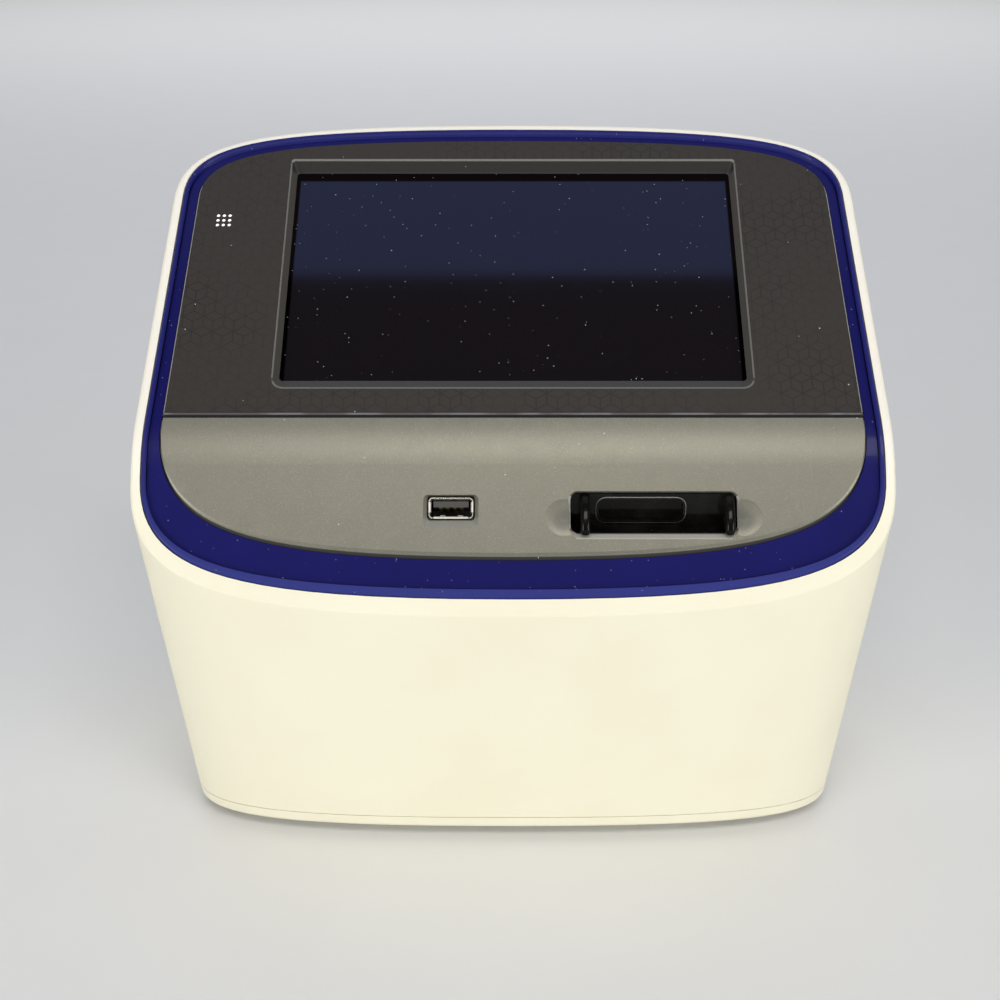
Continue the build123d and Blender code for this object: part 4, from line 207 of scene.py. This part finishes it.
def paint(finish, *names):
    """Puts a finish on CAD parts by name."""
    for name in names:
        part = frame["nodes"][name]
        part.data.materials.clear()
        part.data.materials.append(finish.material)
    print(finish.material.name, "on", len(names), "parts")


# %% [markdown]
# ## The two slopes of the face
#
# Many patterns follow the face, which has a steep strip in front and a flatter display slope, and a
# rounded knee where they meet. A slope's direction is a fixed vector, so a point's place up the slope
# is one dot product, and its depth under the slope is another. The depth under the face tells a raised
# bead from a sunk band, and a clean edge from a dirty gap. On the strip, places up the slope are counted
# from the knee; on the display slope they are counted from the frame's origin.

# %% Slopes
def slope(degrees):
    """The upward and the outward direction of a slope that rises towards the back."""
    angle = math.radians(degrees)
    upward = (0.0, math.cos(angle), math.sin(angle))
    outward = (0.0, -math.sin(angle), math.cos(angle))
    return upward, outward


UP_STRIP, OUT_STRIP = slope(57.5)
UP_DISPLAY, OUT_DISPLAY = slope(38.2)
KNEE = Vector((0.0, -39.94, 145.9))


def under_face(finish):
    """How deep the surface point lies under the two slopes, in millimetres."""
    under_strip = KNEE.dot(OUT_STRIP) - finish.reach(OUT_STRIP)
    return under_strip.math("MINIMUM", KNEE.dot(OUT_DISPLAY) - finish.reach(OUT_DISPLAY))


def from_knee(finish, up):
    """How far the surface point lies up a slope from the knee, in millimetres."""
    return finish.reach(up) - KNEE.dot(up)


print("strip faces", [round(v, 3) for v in OUT_STRIP], "display faces", [round(v, 3) for v in OUT_DISPLAY])

# %% [markdown]
# ## White housing
#
# The housing is moulded in warm white plastic with a very fine spark-eroded texture. The texture is
# far too fine to model, so it is a bump of small noise. Large soft clouds vary the colour by a percent
# or two, as real mouldings do, and a few dark scuffs sit where hands and slides knock it: just under
# the blue ring. The rim round the display is painted whiter where it faces up: a painted highlight.

# %% White housing finish
SCUFFS_START = (92.0, 108.0)
RIM_HIGHLIGHT_STARTS = (118.0, 150.0)
shell_white = Finish("shell_white", Roughness=0.5, Specular_IOR_Level=0.35)
grain = shell_white.noise(0.35, 2.0)
clouds = shell_white.noise(38.0, 3.0)
scuffs = shell_white.specks(5.5, 0.13, 0.06) * shell_white.reach(UP).ramp(*SCUFFS_START)
# Faces that turn up like the display, high on the housing, are painted whiter: a painted highlight.
rim_highlight = shell_white.faces(OUT_DISPLAY).ramp(0.4, 0.9) * shell_white.reach(UP).ramp(*RIM_HIGHLIGHT_STARTS)
warm = shell_white.blend(clouds.ramp(0.3, 0.7), (0.86, 0.82, 0.64), (0.88, 0.85, 0.675))
rim_highlit = shell_white.blend(rim_highlight * 0.8, warm, (0.93, 0.885, 0.81))
shell_white.set("Base Color", shell_white.blend(scuffs * 0.75, rim_highlit, (0.12, 0.11, 0.09)))
shell_white.set("Roughness", 0.44 + grain * 0.16)
shell_white.bump(grain, 0.02)
paint(shell_white, "main_shell", "bottom_cover", "cube_door")

# %% [markdown]
# ## Blue ring
#
# The trim ring is deep navy plastic, satin gloss. Its raised outer bead is painted paler than its flat
# band as a painted highlight, most of all in front, and faces that turn away from the face are painted
# near black as painted shade. The bead stands out of the face, so its depth under the face picks it
# out. Dust shows on dark gloss, so it gets pale specks.

# %% Blue ring finish
BEAD_FOOT = (0.30, 0.70)
FRONT_ENDS = (108.0, 150.0)
ring_blue = Finish("ring_blue", Specular_IOR_Level=0.12, Coat_Roughness=0.10)
fine = ring_blue.noise(0.5, 2.0)
dust = ring_blue.specks(1.6, 0.5, 0.12)
facing_out = ring_blue.faces(OUT_DISPLAY).over(ring_blue.faces(OUT_STRIP))
bead = (1.0 - under_face(ring_blue).ramp(*BEAD_FOOT)) * facing_out.ramp(0.10, 0.60)
in_front = 1.0 - ring_blue.reach(UP).ramp(*FRONT_ENDS) * 0.65
navy = ring_blue.blend(ring_blue.noise(22.0, 3.0), (0.0035, 0.0035, 0.080), (0.006, 0.006, 0.115))
# The bead is painted pale: a painted highlight, strongest in front.
bead_highlit = ring_blue.blend(bead * in_front, navy, (0.030, 0.036, 0.200))
# Faces that turn away from the face are painted near black: painted shade.
shaded = ring_blue.blend(1.0 - facing_out.ramp(0.05, 0.40), bead_highlit, (0.001, 0.001, 0.003))
ring_blue.set("Base Color", ring_blue.blend(dust * 0.5, shaded, (0.42, 0.42, 0.50)))
ring_blue.set("Roughness", 0.34 + fine * 0.10)
ring_blue.set("Coat Weight", 0.12 - dust * 0.12)
ring_blue.bump(fine, 0.004)
paint(ring_blue, "trim_ring")

# %% [markdown]
# ## Grey strip: the paint
#
# The steep strip with the ports is painted in a warm metallic grey. Metallic paint is flakes in
# lacquer: each flake is a cell of a Voronoi pattern with its own brightness, and a few are painted much
# lighter as sparkles, which are painted glints. The shader is part metallic, so that the bend at the
# knee picks up a broad highlight.

# %% Grey paint
FLAKE_SIZE = 0.15
panel_grey = Finish("panel_grey", Specular_IOR_Level=0.3)
cells = {"Vector": panel_grey.place(), "Scale": 1.0 / FLAKE_SIZE}
flakes = panel_grey.node("ShaderNodeTexVoronoi", {"feature": "F1"}, cells, "Color")
flake = panel_grey.node("ShaderNodeSeparateColor", {}, {0: flakes}, "Red")
clouds = panel_grey.noise(6.0, 4.0)
lacquer = panel_grey.blend(flake * 0.6 + clouds * 0.4, (0.195, 0.189, 0.150), (0.262, 0.253, 0.205))
# The lightest flakes are painted pale: painted glints.
paint_and_glints = panel_grey.blend((flake > 0.97) * 0.25, lacquer, (0.60, 0.58, 0.51))
print("flakes of", FLAKE_SIZE, "mm")

# %% [markdown]
# ## Grey strip: painted highlights and painted shade
#
# The chamfer and the lip of the slide port and the edges of the pocket round the socket are painted
# pale as highlights. The two dimples beside the port are dulled and painted darker as shade, and the gap
# round the strip is painted near black as shade. Dust lies on it as pale specks. Each is a mask made of
# a place, a depth and a direction: a chamfer, for one, is a narrow face that turns away from the slope
# by a known angle.

# %% Places on the strip
PORT_MIDDLE = 44.15
PORT_HALF_WIDTH = 27.2
PORT_LOWER_EDGE = -30.15
PORT_HALF_CLIMB = 7.6
DIMPLE_REACH = 36.0
DIMPLE_HEIGHT = (126.0, 8.5)          # the middle, and the reach to either side
SOCKET_X = -19.5
SOCKET_HALF_WIDTH = 9.6
SOCKET_HEIGHT = (126.5, 8.0)          # the middle, and the reach to either side
SOCKET_POCKET_ENDS = (-25.5, -23.5)
UPPER_SEAM = 150.2
across = panel_grey.reach(RIGHT)
high = panel_grey.reach(UP)
climb = from_knee(panel_grey, UP_STRIP)
port_middle_climb = PORT_LOWER_EDGE + 6.5
at_port = across.near(PORT_MIDDLE, PORT_HALF_WIDTH) * climb.near(port_middle_climb, PORT_HALF_CLIMB)
at_dimples = across.near(PORT_MIDDLE, DIMPLE_REACH) * high.near(*DIMPLE_HEIGHT)
at_socket = across.near(SOCKET_X, SOCKET_HALF_WIDTH) * high.near(*SOCKET_HEIGHT)
print("port", PORT_MIDDLE, "socket", SOCKET_X)

# %% Painted highlights, painted shade and dust
tilt = panel_grey.faces(OUT_STRIP)
facing_out = tilt.over(panel_grey.faces(OUT_DISPLAY))
depth = under_face(panel_grey)
chamfer = facing_out.near(0.707, 0.06)
# The port's chamfer and lip and the socket pocket's edges are painted pale: painted highlights.
lip_highlight = (depth < 0.02) * across.near(PORT_MIDDLE, 24.5) * climb.near(PORT_LOWER_EDGE - 1.0, 0.25)
port_edge_highlight = at_port * (chamfer * 0.45 + tilt.near(0.87, 0.07) * 0.25)
pocket_highlight = at_socket * (tilt < 0.98) * (1.0 - climb.ramp(*SOCKET_POCKET_ENDS))
edge_highlights = port_edge_highlight.over(lip_highlight * 0.22, pocket_highlight * 0.14)
# The dimples are painted darker towards their bottoms: painted shade.
dimple_shade = depth.ramp(0.10, 0.55) * (tilt > 0.9) * at_dimples
# The gap round the strip and the chamfer at the upper seam are painted near black: painted shade.
shaded_gap = (facing_out < 0.98) * depth.ramp(0.42, 0.62) * (1.0 - at_port) * (1.0 - at_socket)
gap_shade = shaded_gap.over(chamfer * (high > UPPER_SEAM))
dust = panel_grey.specks(2.6, 0.12, 0.09, panel_grey.flat(UP_STRIP))
# Apart from the dust, these masks are painted highlights and painted shade.
print("masks for wear, dimples, grime and dust")

# %% Grey strip finish
# Pale edges are painted highlights; the dark dimples and the near-black gap are painted shade.
edge_highlit = panel_grey.blend(edge_highlights * 0.9, paint_and_glints, (0.84, 0.81, 0.78))
dimple_shaded = panel_grey.blend(dimple_shade * 0.5, edge_highlit, (0.07, 0.07, 0.06))
gap_shaded = panel_grey.blend(gap_shade * 0.9, dimple_shaded, (0.012, 0.011, 0.011))
panel_grey.set("Base Color", panel_grey.blend(dust * 0.8, gap_shaded, (0.75, 0.74, 0.70)))
matt = (edge_highlights * 2.0 + gap_shade + dimple_shade * 2.0 + dust).math("MINIMUM", 1.0)
panel_grey.set("Metallic", 0.45 - matt * 0.45)
panel_grey.set("Roughness", 0.36 + clouds * 0.12)
panel_grey.bump(flake, 0.004)
paint(panel_grey, "lower_bezel")

# %% [markdown]
# ## Dark display panel: the printed lattice
#
# The display panel is a dark brown grey film over plastic. A faint lattice of cubes is printed into it:
# hexagons, each with three lines from its middle to every other corner. A hexagon pattern is two
# offset grids of cells, of which each point takes the nearer one; the distance to the cell's border
# then gives the hexagons, and the distance to three rays gives the cubes.

# %% Cube lattice
CELLS_BEFORE = 400.0          # a Wrap counts from here, so that no place on the panel is negative


def cube_lattice(finish, cell, line, start):
    """Lines of a lattice of cubes on the display slope. Widths and start are in millimetres."""
    across = finish.reach([v / cell for v in RIGHT]) + CELLS_BEFORE - start[0] / cell
    up = finish.reach([v / cell for v in UP_DISPLAY]) + CELLS_BEFORE - start[1] / cell
    tall = math.sqrt(3.0)
    ax, ay = across.wrapped(1.0) - 0.5, up.wrapped(tall) - tall / 2
    bx, by = (across - 0.5).wrapped(1.0) - 0.5, (up - tall / 2).wrapped(tall) - tall / 2
    first = (ax * ax + ay * ay) < (bx * bx + by * by)
    x = bx + first * (ax - bx)
    y = by + first * (ay - by)
    slanted = x.abs() * 0.5 + y.abs() * (tall / 2)
    border = x.abs().over(slanted)
    lines = border.ramp(0.5 - line / cell, 0.5 - 0.3 * line / cell)
    for turn in (90.0, 210.0, 330.0):
        c, s = math.cos(math.radians(turn)), math.sin(math.radians(turn))
        beside = (x * -s + y * c).abs()
        ahead = (x * c + y * s) > 0.0
        lines = lines.over((1.0 - beside.ramp(0.3 * line / cell, line / cell)) * ahead)
    return lines


panel_dark = Finish("panel_dark", Specular_IOR_Level=0.35)
lattice = cube_lattice(panel_dark, 6.85, 0.36, (-2.9, 0.0))
print("lattice of cubes, 6.85 mm wide")

# %% [markdown]
# ## Dark display panel: recess, edges and seam
#
# The surface's direction picks out the sloping walls of the screen's recess, which are paler, and the
# thin edges, which are painted paler as highlights. The recess's upper wall is painted near black as
# shade. At the seam to the grey strip a thin line is painted pale as a highlight, and the gap at the
# seam is painted near black as shade.

# %% Places on the display panel
SCREEN_CLIMB = 124.9
RECESS_HALF_WIDTH = 78.6
RECESS_HALF_CLIMB = 47.6
UPPER_WALL = (166.0, 168.5)
SEAM_Y = -33.14
level = panel_dark.faces(OUT_DISPLAY)
climb = panel_dark.reach(UP_DISPLAY)
beside = panel_dark.reach(RIGHT).near(0.0, RECESS_HALF_WIDTH)
in_recess = beside * climb.near(SCREEN_CLIMB - 0.2, RECESS_HALF_CLIMB)
outside = 1.0 - in_recess
brink = in_recess * level.near(0.853, 0.012).over(level.near(0.925, 0.02))
wall = in_recess * (level < 0.99) * (1.0 - brink)
upper_wall = wall * climb.ramp(*UPPER_WALL)
from_seam = panel_dark.reach(BACK) - SEAM_Y
chamfer = outside * level.near(0.70, 0.07) * (from_seam > 0.9)
shaded_gap = outside * (level < 0.45).over(from_seam < 0.45, from_seam.near(1.08, 0.10))
patchy = 0.45 + 0.55 * panel_dark.noise(14.0, 4.0).ramp(0.45, 0.6)
seam_highlight = outside * from_seam.near(0.70, 0.26) * patchy
print("screen at", SCREEN_CLIMB, "mm up the slope, seam at", SEAM_Y)

# %% Dark panel finish
grain = panel_dark.noise(0.28, 2.0)
fade = panel_dark.noise(30.0, 2.0).ramp(0.35, 0.65)
dust = panel_dark.specks(2.4, 0.08, 0.10, panel_dark.flat(UP_DISPLAY))
brown = panel_dark.blend(grain, (0.024, 0.019, 0.016), (0.034, 0.028, 0.024))
printed = panel_dark.blend(lattice * (0.18 + 0.40 * fade), brown, (0.009, 0.008, 0.007))
walled = panel_dark.blend(wall, printed, (0.062, 0.057, 0.051))
# The recess's upper wall is painted near black: painted shade.
shadowed = panel_dark.blend(upper_wall * 0.85, walled, (0.008, 0.008, 0.008))
# Chamfers and the recess's brink are painted pale: painted highlights.
edge_highlight = (chamfer * 2.0 + brink * 0.8) * (0.20 + grain * 0.40)
edge_highlit = panel_dark.blend(edge_highlight, shadowed, (0.42, 0.41, 0.37))
# The gap at the seam is painted near black as shade, and the thin line beside it pale as a highlight.
seamed = panel_dark.blend(shaded_gap, edge_highlit, (0.002, 0.002, 0.002))
seam_highlit = panel_dark.blend(seam_highlight, seamed, (0.16, 0.15, 0.15))
panel_dark.set("Base Color", panel_dark.blend(dust * 0.8, seam_highlit, (0.6, 0.6, 0.58)))
panel_dark.set("Roughness", 0.46 + grain * 0.10 - lattice * 0.05)
panel_dark.bump(grain * 0.6 + lattice * 0.4, 0.008)
paint(panel_dark, "upper_bezel")

# %% [markdown]
# ## Display
#
# The screen is off: a black panel behind polished cover glass. The glass is a weak mirror, so what it
# shows is the light above it, and its coating against glare gives that reflection a blue cast. Along
# the upper and side edges a black border, made fully metallic, takes the reflection away. Fine dust
# lies on the glass.

# %% Display finishes
UPPER_BORDER = (SCREEN_CLIMB + 38.8, SCREEN_CLIMB + 39.8)
SIDE_BORDER = (74.2, 74.9)
screen_glass = Finish("screen_glass", Specular_IOR_Level=0.70, Specular_Tint=(0.30, 0.42, 0.94))
dust = screen_glass.specks(1.6, 0.40, 0.12, screen_glass.flat(UP_DISPLAY))
side_border = screen_glass.reach(RIGHT).abs().ramp(*SIDE_BORDER)
border = screen_glass.reach(UP_DISPLAY).ramp(*UPPER_BORDER).over(side_border)
smear = screen_glass.noise(26.0, 4.0)
screen_glass.set("Base Color", screen_glass.blend(dust * 0.8, (0.007, 0.0045, 0.004), (0.5, 0.5, 0.5)))
screen_glass.set("Roughness", 0.035 + smear * 0.04 + dust * 0.5)
screen_glass.set("Metallic", border)
paint(screen_glass, "touch_glass")

display_black = Finish("display_black", Specular_IOR_Level=0.5)
weave = display_black.noise(0.2, 1.0)
display_black.set("Base Color", display_black.blend(weave, (0.006, 0.006, 0.008), (0.012, 0.012, 0.015)))
display_black.set("Roughness", 0.12 + weave * 0.1)
paint(display_black, "display_panel", "image_sensor")

# %% [markdown]
# ## Plain plastics and rubber
#
# The slide port and its flap are smooth black plastic that has gathered dust, and the chamfer round the
# slide window is painted pale as a highlight. Sockets are duller, and the USB socket's tongue is warm
# grey; the feet are soft rubber with a dusty bloom. One function makes all of them, because they differ
# only in their tone and in how rough and how dusty they are.

# %% Plain plastic finishes
WINDOW_ACROSS = (40.4, 14.4)          # the middle, and the reach to either side
WINDOW_HEIGHT = (125.45, 4.65)


def window_rim_highlight(finish):
    """The chamfer round the slide window, which is painted pale as a highlight."""
    at_window = finish.reach(RIGHT).near(*WINDOW_ACROSS) * finish.reach(UP).near(*WINDOW_HEIGHT)
    return at_window * finish.faces(BACK).near(-0.707, 0.08)


def dusty_plastic(name, tone, rough, dusty, coat=0.0, shine=0.5, edge_highlight=None):
    """A plastic of one tone; dusty scales its bloom and specks, and edge_highlight gives a mask of painted
    highlights.
    """
    finish = Finish(name, Specular_IOR_Level=shine, Coat_Roughness=0.06)
    grain = finish.noise(0.4, 3.0)
    bloom = finish.noise(7.0, 4.0).ramp(0.35, 0.75)
    dust = finish.specks(1.5, 0.12 * dusty, 0.10)
    pale = [value + 0.01 for value in tone]
    deep = finish.blend(bloom * 0.5 * dusty, tone, pale)
    if edge_highlight:
        # The window's chamfer is painted pale: a painted highlight.
        deep = finish.blend(edge_highlight(finish) * 0.6, deep, (0.30, 0.29, 0.27))
    finish.set("Base Color", finish.blend(dust * 0.7, deep, (0.42, 0.40, 0.36)))
    finish.set("Roughness", rough + grain * 0.14 + bloom * 0.06)
    finish.set("Coat Weight", coat - dust * coat)
    finish.bump(grain, 0.02 * rough)
    return finish


paint(dusty_plastic("port_black", (0.0030, 0.0025, 0.0022), 0.18, 1.0, 0.20, 0.06, window_rim_highlight),
      "slide_port", "light_flap", "slide_carriage", "rocker_frame", "power_rocker")
paint(dusty_plastic("socket_black", (0.022, 0.022, 0.022), 0.50, 0.3), "dc_jack")
paint(dusty_plastic("socket_grey", (0.050, 0.048, 0.044), 0.45, 0.2), "usb_tongue")
paint(dusty_plastic("foot_rubber", (0.024, 0.024, 0.024), 0.78, 0.8), "rubber_feet")

# %% [markdown]
# ## Metals
#
# Four metals serve the sockets, fasteners and the mechanism: bright plate, dull zinc plate, machined
# and blasted aluminium, and black anodised aluminium. Rolled and turned metal has grain drawn out in
# one direction, so the noise is squeezed along one axis; blasted metal has an even, fine grain. The
# plate inside the USB socket is painted near black as shade, and its two sprung fingers and the lips of
# its mouth are painted bright as highlights.

# %% Metal finishes
SOCKET_MOUTH = KNEE.dot(OUT_STRIP) - 1.0


def socket_shade_and_highlights(finish):
    """Two masks for the plate of the USB socket: painted shade inside it, and painted highlights on its
    lips and fingers.
    """
    depth = SOCKET_MOUTH - finish.reach(OUT_STRIP)
    beside = (finish.reach(RIGHT) - SOCKET_X).abs()
    climb = from_knee(finish, UP_STRIP)
    in_front = finish.reach(BACK) < 0.0
    finger = beside.near(2.8, 0.9) * depth.near(6.5, 2.0)
    # Deep in the socket the plate is painted near black: painted shade.
    inner_shade = depth.ramp(0.7, 1.3) * in_front * (1.0 - finger)
    lower_lip = (beside < 5.4) * (climb < -23.4)
    side_lips = (beside > 6.0) * climb.near(-21.2, 1.6)
    # The lips and the sprung fingers are painted bright: painted highlights.
    lip_highlights = (depth < 0.8) * side_lips.over(lower_lip)
    return inner_shade, lip_highlights.over(finger * in_front)


def metal(name, low, high, rough, stretch=(1.0, 1.0, 1.0), relief=0.004, metallic=1.0, shade_and_highlights=None):
    """A metal between two tones, with its grain stretched along the axis whose factor is small."""
    finish = Finish(name, Metallic=metallic)
    drawn = finish.node("ShaderNodeMapping", {}, {"Vector": finish.place(), "Scale": stretch})
    grain = finish.noise(0.35, 4.0, 0.6, drawn)
    stain = finish.noise(9.0, 4.0)
    tone = finish.blend(grain * 0.6 + stain * 0.4, low, high)
    if shade_and_highlights:
        # The first mask is painted shade and the second painted highlights.
        inner_shade, highlights = shade_and_highlights(finish)
        tone = finish.blend(inner_shade * 0.96, tone, (0.01, 0.01, 0.01))
        tone = finish.blend(highlights, tone, (0.95, 0.90, 0.84))
        finish.set("Metallic", metallic - highlights * 0.75)
    finish.set("Base Color", tone)
    finish.set("Roughness", rough + grain * 0.14 + stain * 0.06)
    finish.bump(grain, relief)
    return finish


paint(metal("plated_steel", (0.62, 0.58, 0.50), (0.84, 0.80, 0.72), 0.16, (0.3, 1.0, 1.0),
            shade_and_highlights=socket_shade_and_highlights), "usb_shell", "jack_pin")
paint(metal("contact_gold", (0.72, 0.52, 0.20), (0.90, 0.70, 0.34), 0.18), "usb_contacts")
paint(metal("zinc_steel", (0.46, 0.46, 0.44), (0.62, 0.62, 0.60), 0.30, (0.12, 1.0, 1.0)),
      "cover_screws", "door_screws", "display_tray", "board_standoffs", "flap_pin", "carriage_spring",
      "focus_guide", "focus_screw", "guide_rods", "shuttle_screw", "chassis_plate", "board_posts")
paint(metal("machined_aluminium", (0.60, 0.60, 0.61), (0.74, 0.74, 0.75), 0.36, relief=0.010),
      "slide_stage", "optics_tower", "focus_carriage", "rod_brackets", "cube_shuttle",
      "screw_bearing", "motor_bracket", "camera_case")
paint(metal("anodised_black", (0.010, 0.010, 0.011), (0.024, 0.024, 0.026), 0.40, metallic=0.6),
      "heat_sink", "illuminator_arm", "objective", "light_cube_a", "light_cube_b", "tube_lens")
paint(metal("motor_steel", (0.16, 0.16, 0.165), (0.26, 0.26, 0.265), 0.38, (1.0, 1.0, 0.12)),
      "focus_motor", "shuttle_motor")

# %% [markdown]
# ## Circuit boards
#
# Green solder mask covers copper tracks, which show as slightly lighter lines that run square to the
# board's edges. Square tracks come from a brick-like cell pattern: each cell carries its line along
# one of two directions, by chance.

# %% Board finish
BLOCK_SIZE = 5.0
TRACK_STEP = 1.1
ALONG_BOARDS = (0.0, 1.0, 0.35)       # serves boards that lie flat and boards that lean
board_green = Finish("board_green", Specular_IOR_Level=0.5, Coat_Roughness=0.12)
settings = {"feature": "F1", "distance": "CHEBYCHEV"}
cells = {"Vector": board_green.place(), "Scale": 1.0 / BLOCK_SIZE, "Randomness": 0.6}
blocks = board_green.node("ShaderNodeTexVoronoi", settings, cells, "Color")
chance = board_green.node("ShaderNodeSeparateColor", {}, {0: blocks}, "Red") > 0.5
crosswise = board_green.reach(RIGHT).wrapped(TRACK_STEP)
lengthwise = board_green.reach(ALONG_BOARDS).wrapped(TRACK_STEP)
track = crosswise + chance * (lengthwise - crosswise)
copper = track.near(TRACK_STEP / 2, 0.18)
grain = board_green.noise(0.5, 2.0)
mask_green = board_green.blend(copper * 0.8, (0.010, 0.060, 0.024), (0.030, 0.130, 0.050))
board_green.set("Base Color", board_green.blend(grain * 0.25, mask_green, (0.02, 0.09, 0.04)))
board_green.set("Roughness", 0.30 + grain * 0.12)
board_green.set("Coat Weight", 0.25 + copper * 0.15)
board_green.bump(copper, 0.03)
paint(board_green, "mainboard", "indicator_board", "usb_board", "led_board", "camera_board", "power_board")

# %% [markdown]
# ## Lenses and the indicator's light guide
#
# Coated lenses are clear with a faint tint. The light guide is milky plastic: nine small pips that stay
# bright because the plastic scatters light inside, which a little emission imitates.

# %% Lens and guide finishes
lens_glass = Finish("lens_glass", Specular_IOR_Level=0.6, Transmission_Weight=0.85, IOR=1.5)
tint = lens_glass.noise(4.0, 1.0)
lens_glass.set("Base Color", lens_glass.blend(tint, (0.74, 0.84, 0.90), (0.86, 0.88, 0.96)))
lens_glass.set("Roughness", 0.03 + tint * 0.03)
paint(lens_glass, "condenser_lens", "objective_lens", "beam_splitters", "tube_glass")

guide_white = Finish("guide_white", Specular_IOR_Level=0.5, Emission_Strength=0.6)
milk = guide_white.noise(1.2, 2.0)
guide_white.set("Base Color", guide_white.blend(milk, (0.80, 0.80, 0.78), (0.92, 0.92, 0.90)))
guide_white.set("Emission Color", guide_white.blend(milk, (0.7, 0.7, 0.7), (1.0, 1.0, 1.0)))
guide_white.set("Roughness", 0.25 + milk * 0.1)
paint(guide_white, "indicator_guide")

bare = [name for name, part in frame["nodes"].items()
        if not part.data.materials or part.data.materials[0].name.split(".")[0] not in
        [m["slot"] for m in frame["record"]["materials"]]]
print("parts without a finish:", bare)

# %% [markdown]
# ## The carriage's spring
#
# When a slide is pushed in, its carriage presses a coil spring against a fixed stop. A rigid coil would
# then stick through the carriage. Here the spring only gets a mesh of its own; nothing shortens it as
# the joint moves.

# %% Spring with a mesh of its own
spring = frame["nodes"]["carriage_spring"]
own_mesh(spring)

# %% [markdown]
# ## Floor and light
#
# A plain pale floor and a few large soft lamps, as in a product studio. The key lamp is high in front,
# where the knee of the grey strip catches it but the blue ring doesn't. Two fills at the sides light
# the white front, and a back light brightens the far floor. A wide dim card overhead is what the glass
# mirrors: its front edge falls across the middle of the screen. The level is set so that a colour
# renders about as it is written.

# %% Floor
bpy.ops.object.select_all(action="DESELECT")
bpy.ops.mesh.primitive_plane_add(size=8.0, location=(0.0, 0.0, 0.0))
floor = bpy.context.object
floor.name = "floor"
floor_pale = Finish("floor_pale", Roughness=0.7, Specular_IOR_Level=0.2)
paper = floor_pale.noise(40.0, 2.0)
floor_pale.set("Base Color", floor_pale.blend(paper, (0.80, 0.80, 0.80), (0.82, 0.82, 0.82)))
floor.data.materials.append(floor_pale.material)
print("floor", tuple(floor.dimensions))

# %% Lamps and world
MIDDLE = (0.0, 0.0, 0.12)


def softbox(name, size, place, watts, colour=(1.0, 1.0, 1.0), aim=MIDDLE):
    """A large rectangular lamp that faces a point."""
    lamp = bpy.data.lights.new(name, "AREA")
    lamp.shape = "RECTANGLE"
    lamp.size, lamp.size_y = size
    lamp.energy = watts
    lamp.color = colour
    holder = bpy.data.objects.new(name, lamp)
    bpy.context.scene.collection.objects.link(holder)
    holder.location = place
    holder.rotation_euler = (Vector(aim) - Vector(place)).to_track_quat("-Z", "Y").to_euler()


softbox("key_lamp", (1.3, 0.5), (0.1, -1.05, 1.62), 14.0, (1.0, 0.985, 0.95))
softbox("left_fill", (1.0, 1.0), (-1.5, -1.3, 0.45), 19.0)
softbox("right_fill", (1.0, 1.0), (1.6, -1.2, 0.45), 18.0)
softbox("back_light", (4.5, 2.4), (0.0, 2.9, 1.5), 36.0, (1.0, 0.99, 0.97), (0.0, 2.9, 0.0))
softbox("sky_card", (3.0, 3.2), (0.0, 1.53, 2.2), 20.0, (0.74, 0.82, 1.0), (0.0, 1.53, 0.0))

world = bpy.data.worlds.new("studio")
bpy.context.scene.world = world
world.use_nodes = True
sky = world.node_tree.nodes["Background"].inputs
sky["Color"].default_value = (1.0, 0.97, 0.93, 1.0)
sky["Strength"].default_value = 0.10
bpy.context.scene.view_settings.view_transform = "Standard"

# %% [markdown]
# ## Camera
#
# The camera stands in front and looks down at the display, close enough for the front to look wider
# than the back. The lens is a little longer than normal, and the frame is shifted a few pixels
# sideways.

# %% Camera
LOOKS_DOWN = 25.5
lens = bpy.data.cameras.new("camera")
lens.lens = 48.08
lens.sensor_width = 36.0
lens.shift_x = -0.013
camera = bpy.data.objects.new("camera", lens)
bpy.context.scene.collection.objects.link(camera)
camera.location = (0.0, -0.42794, 0.310)
camera.rotation_euler = (math.radians(90.0 - LOOKS_DOWN), 0.0, 0.0)
bpy.context.scene.camera = camera
print("camera", tuple(camera.location))
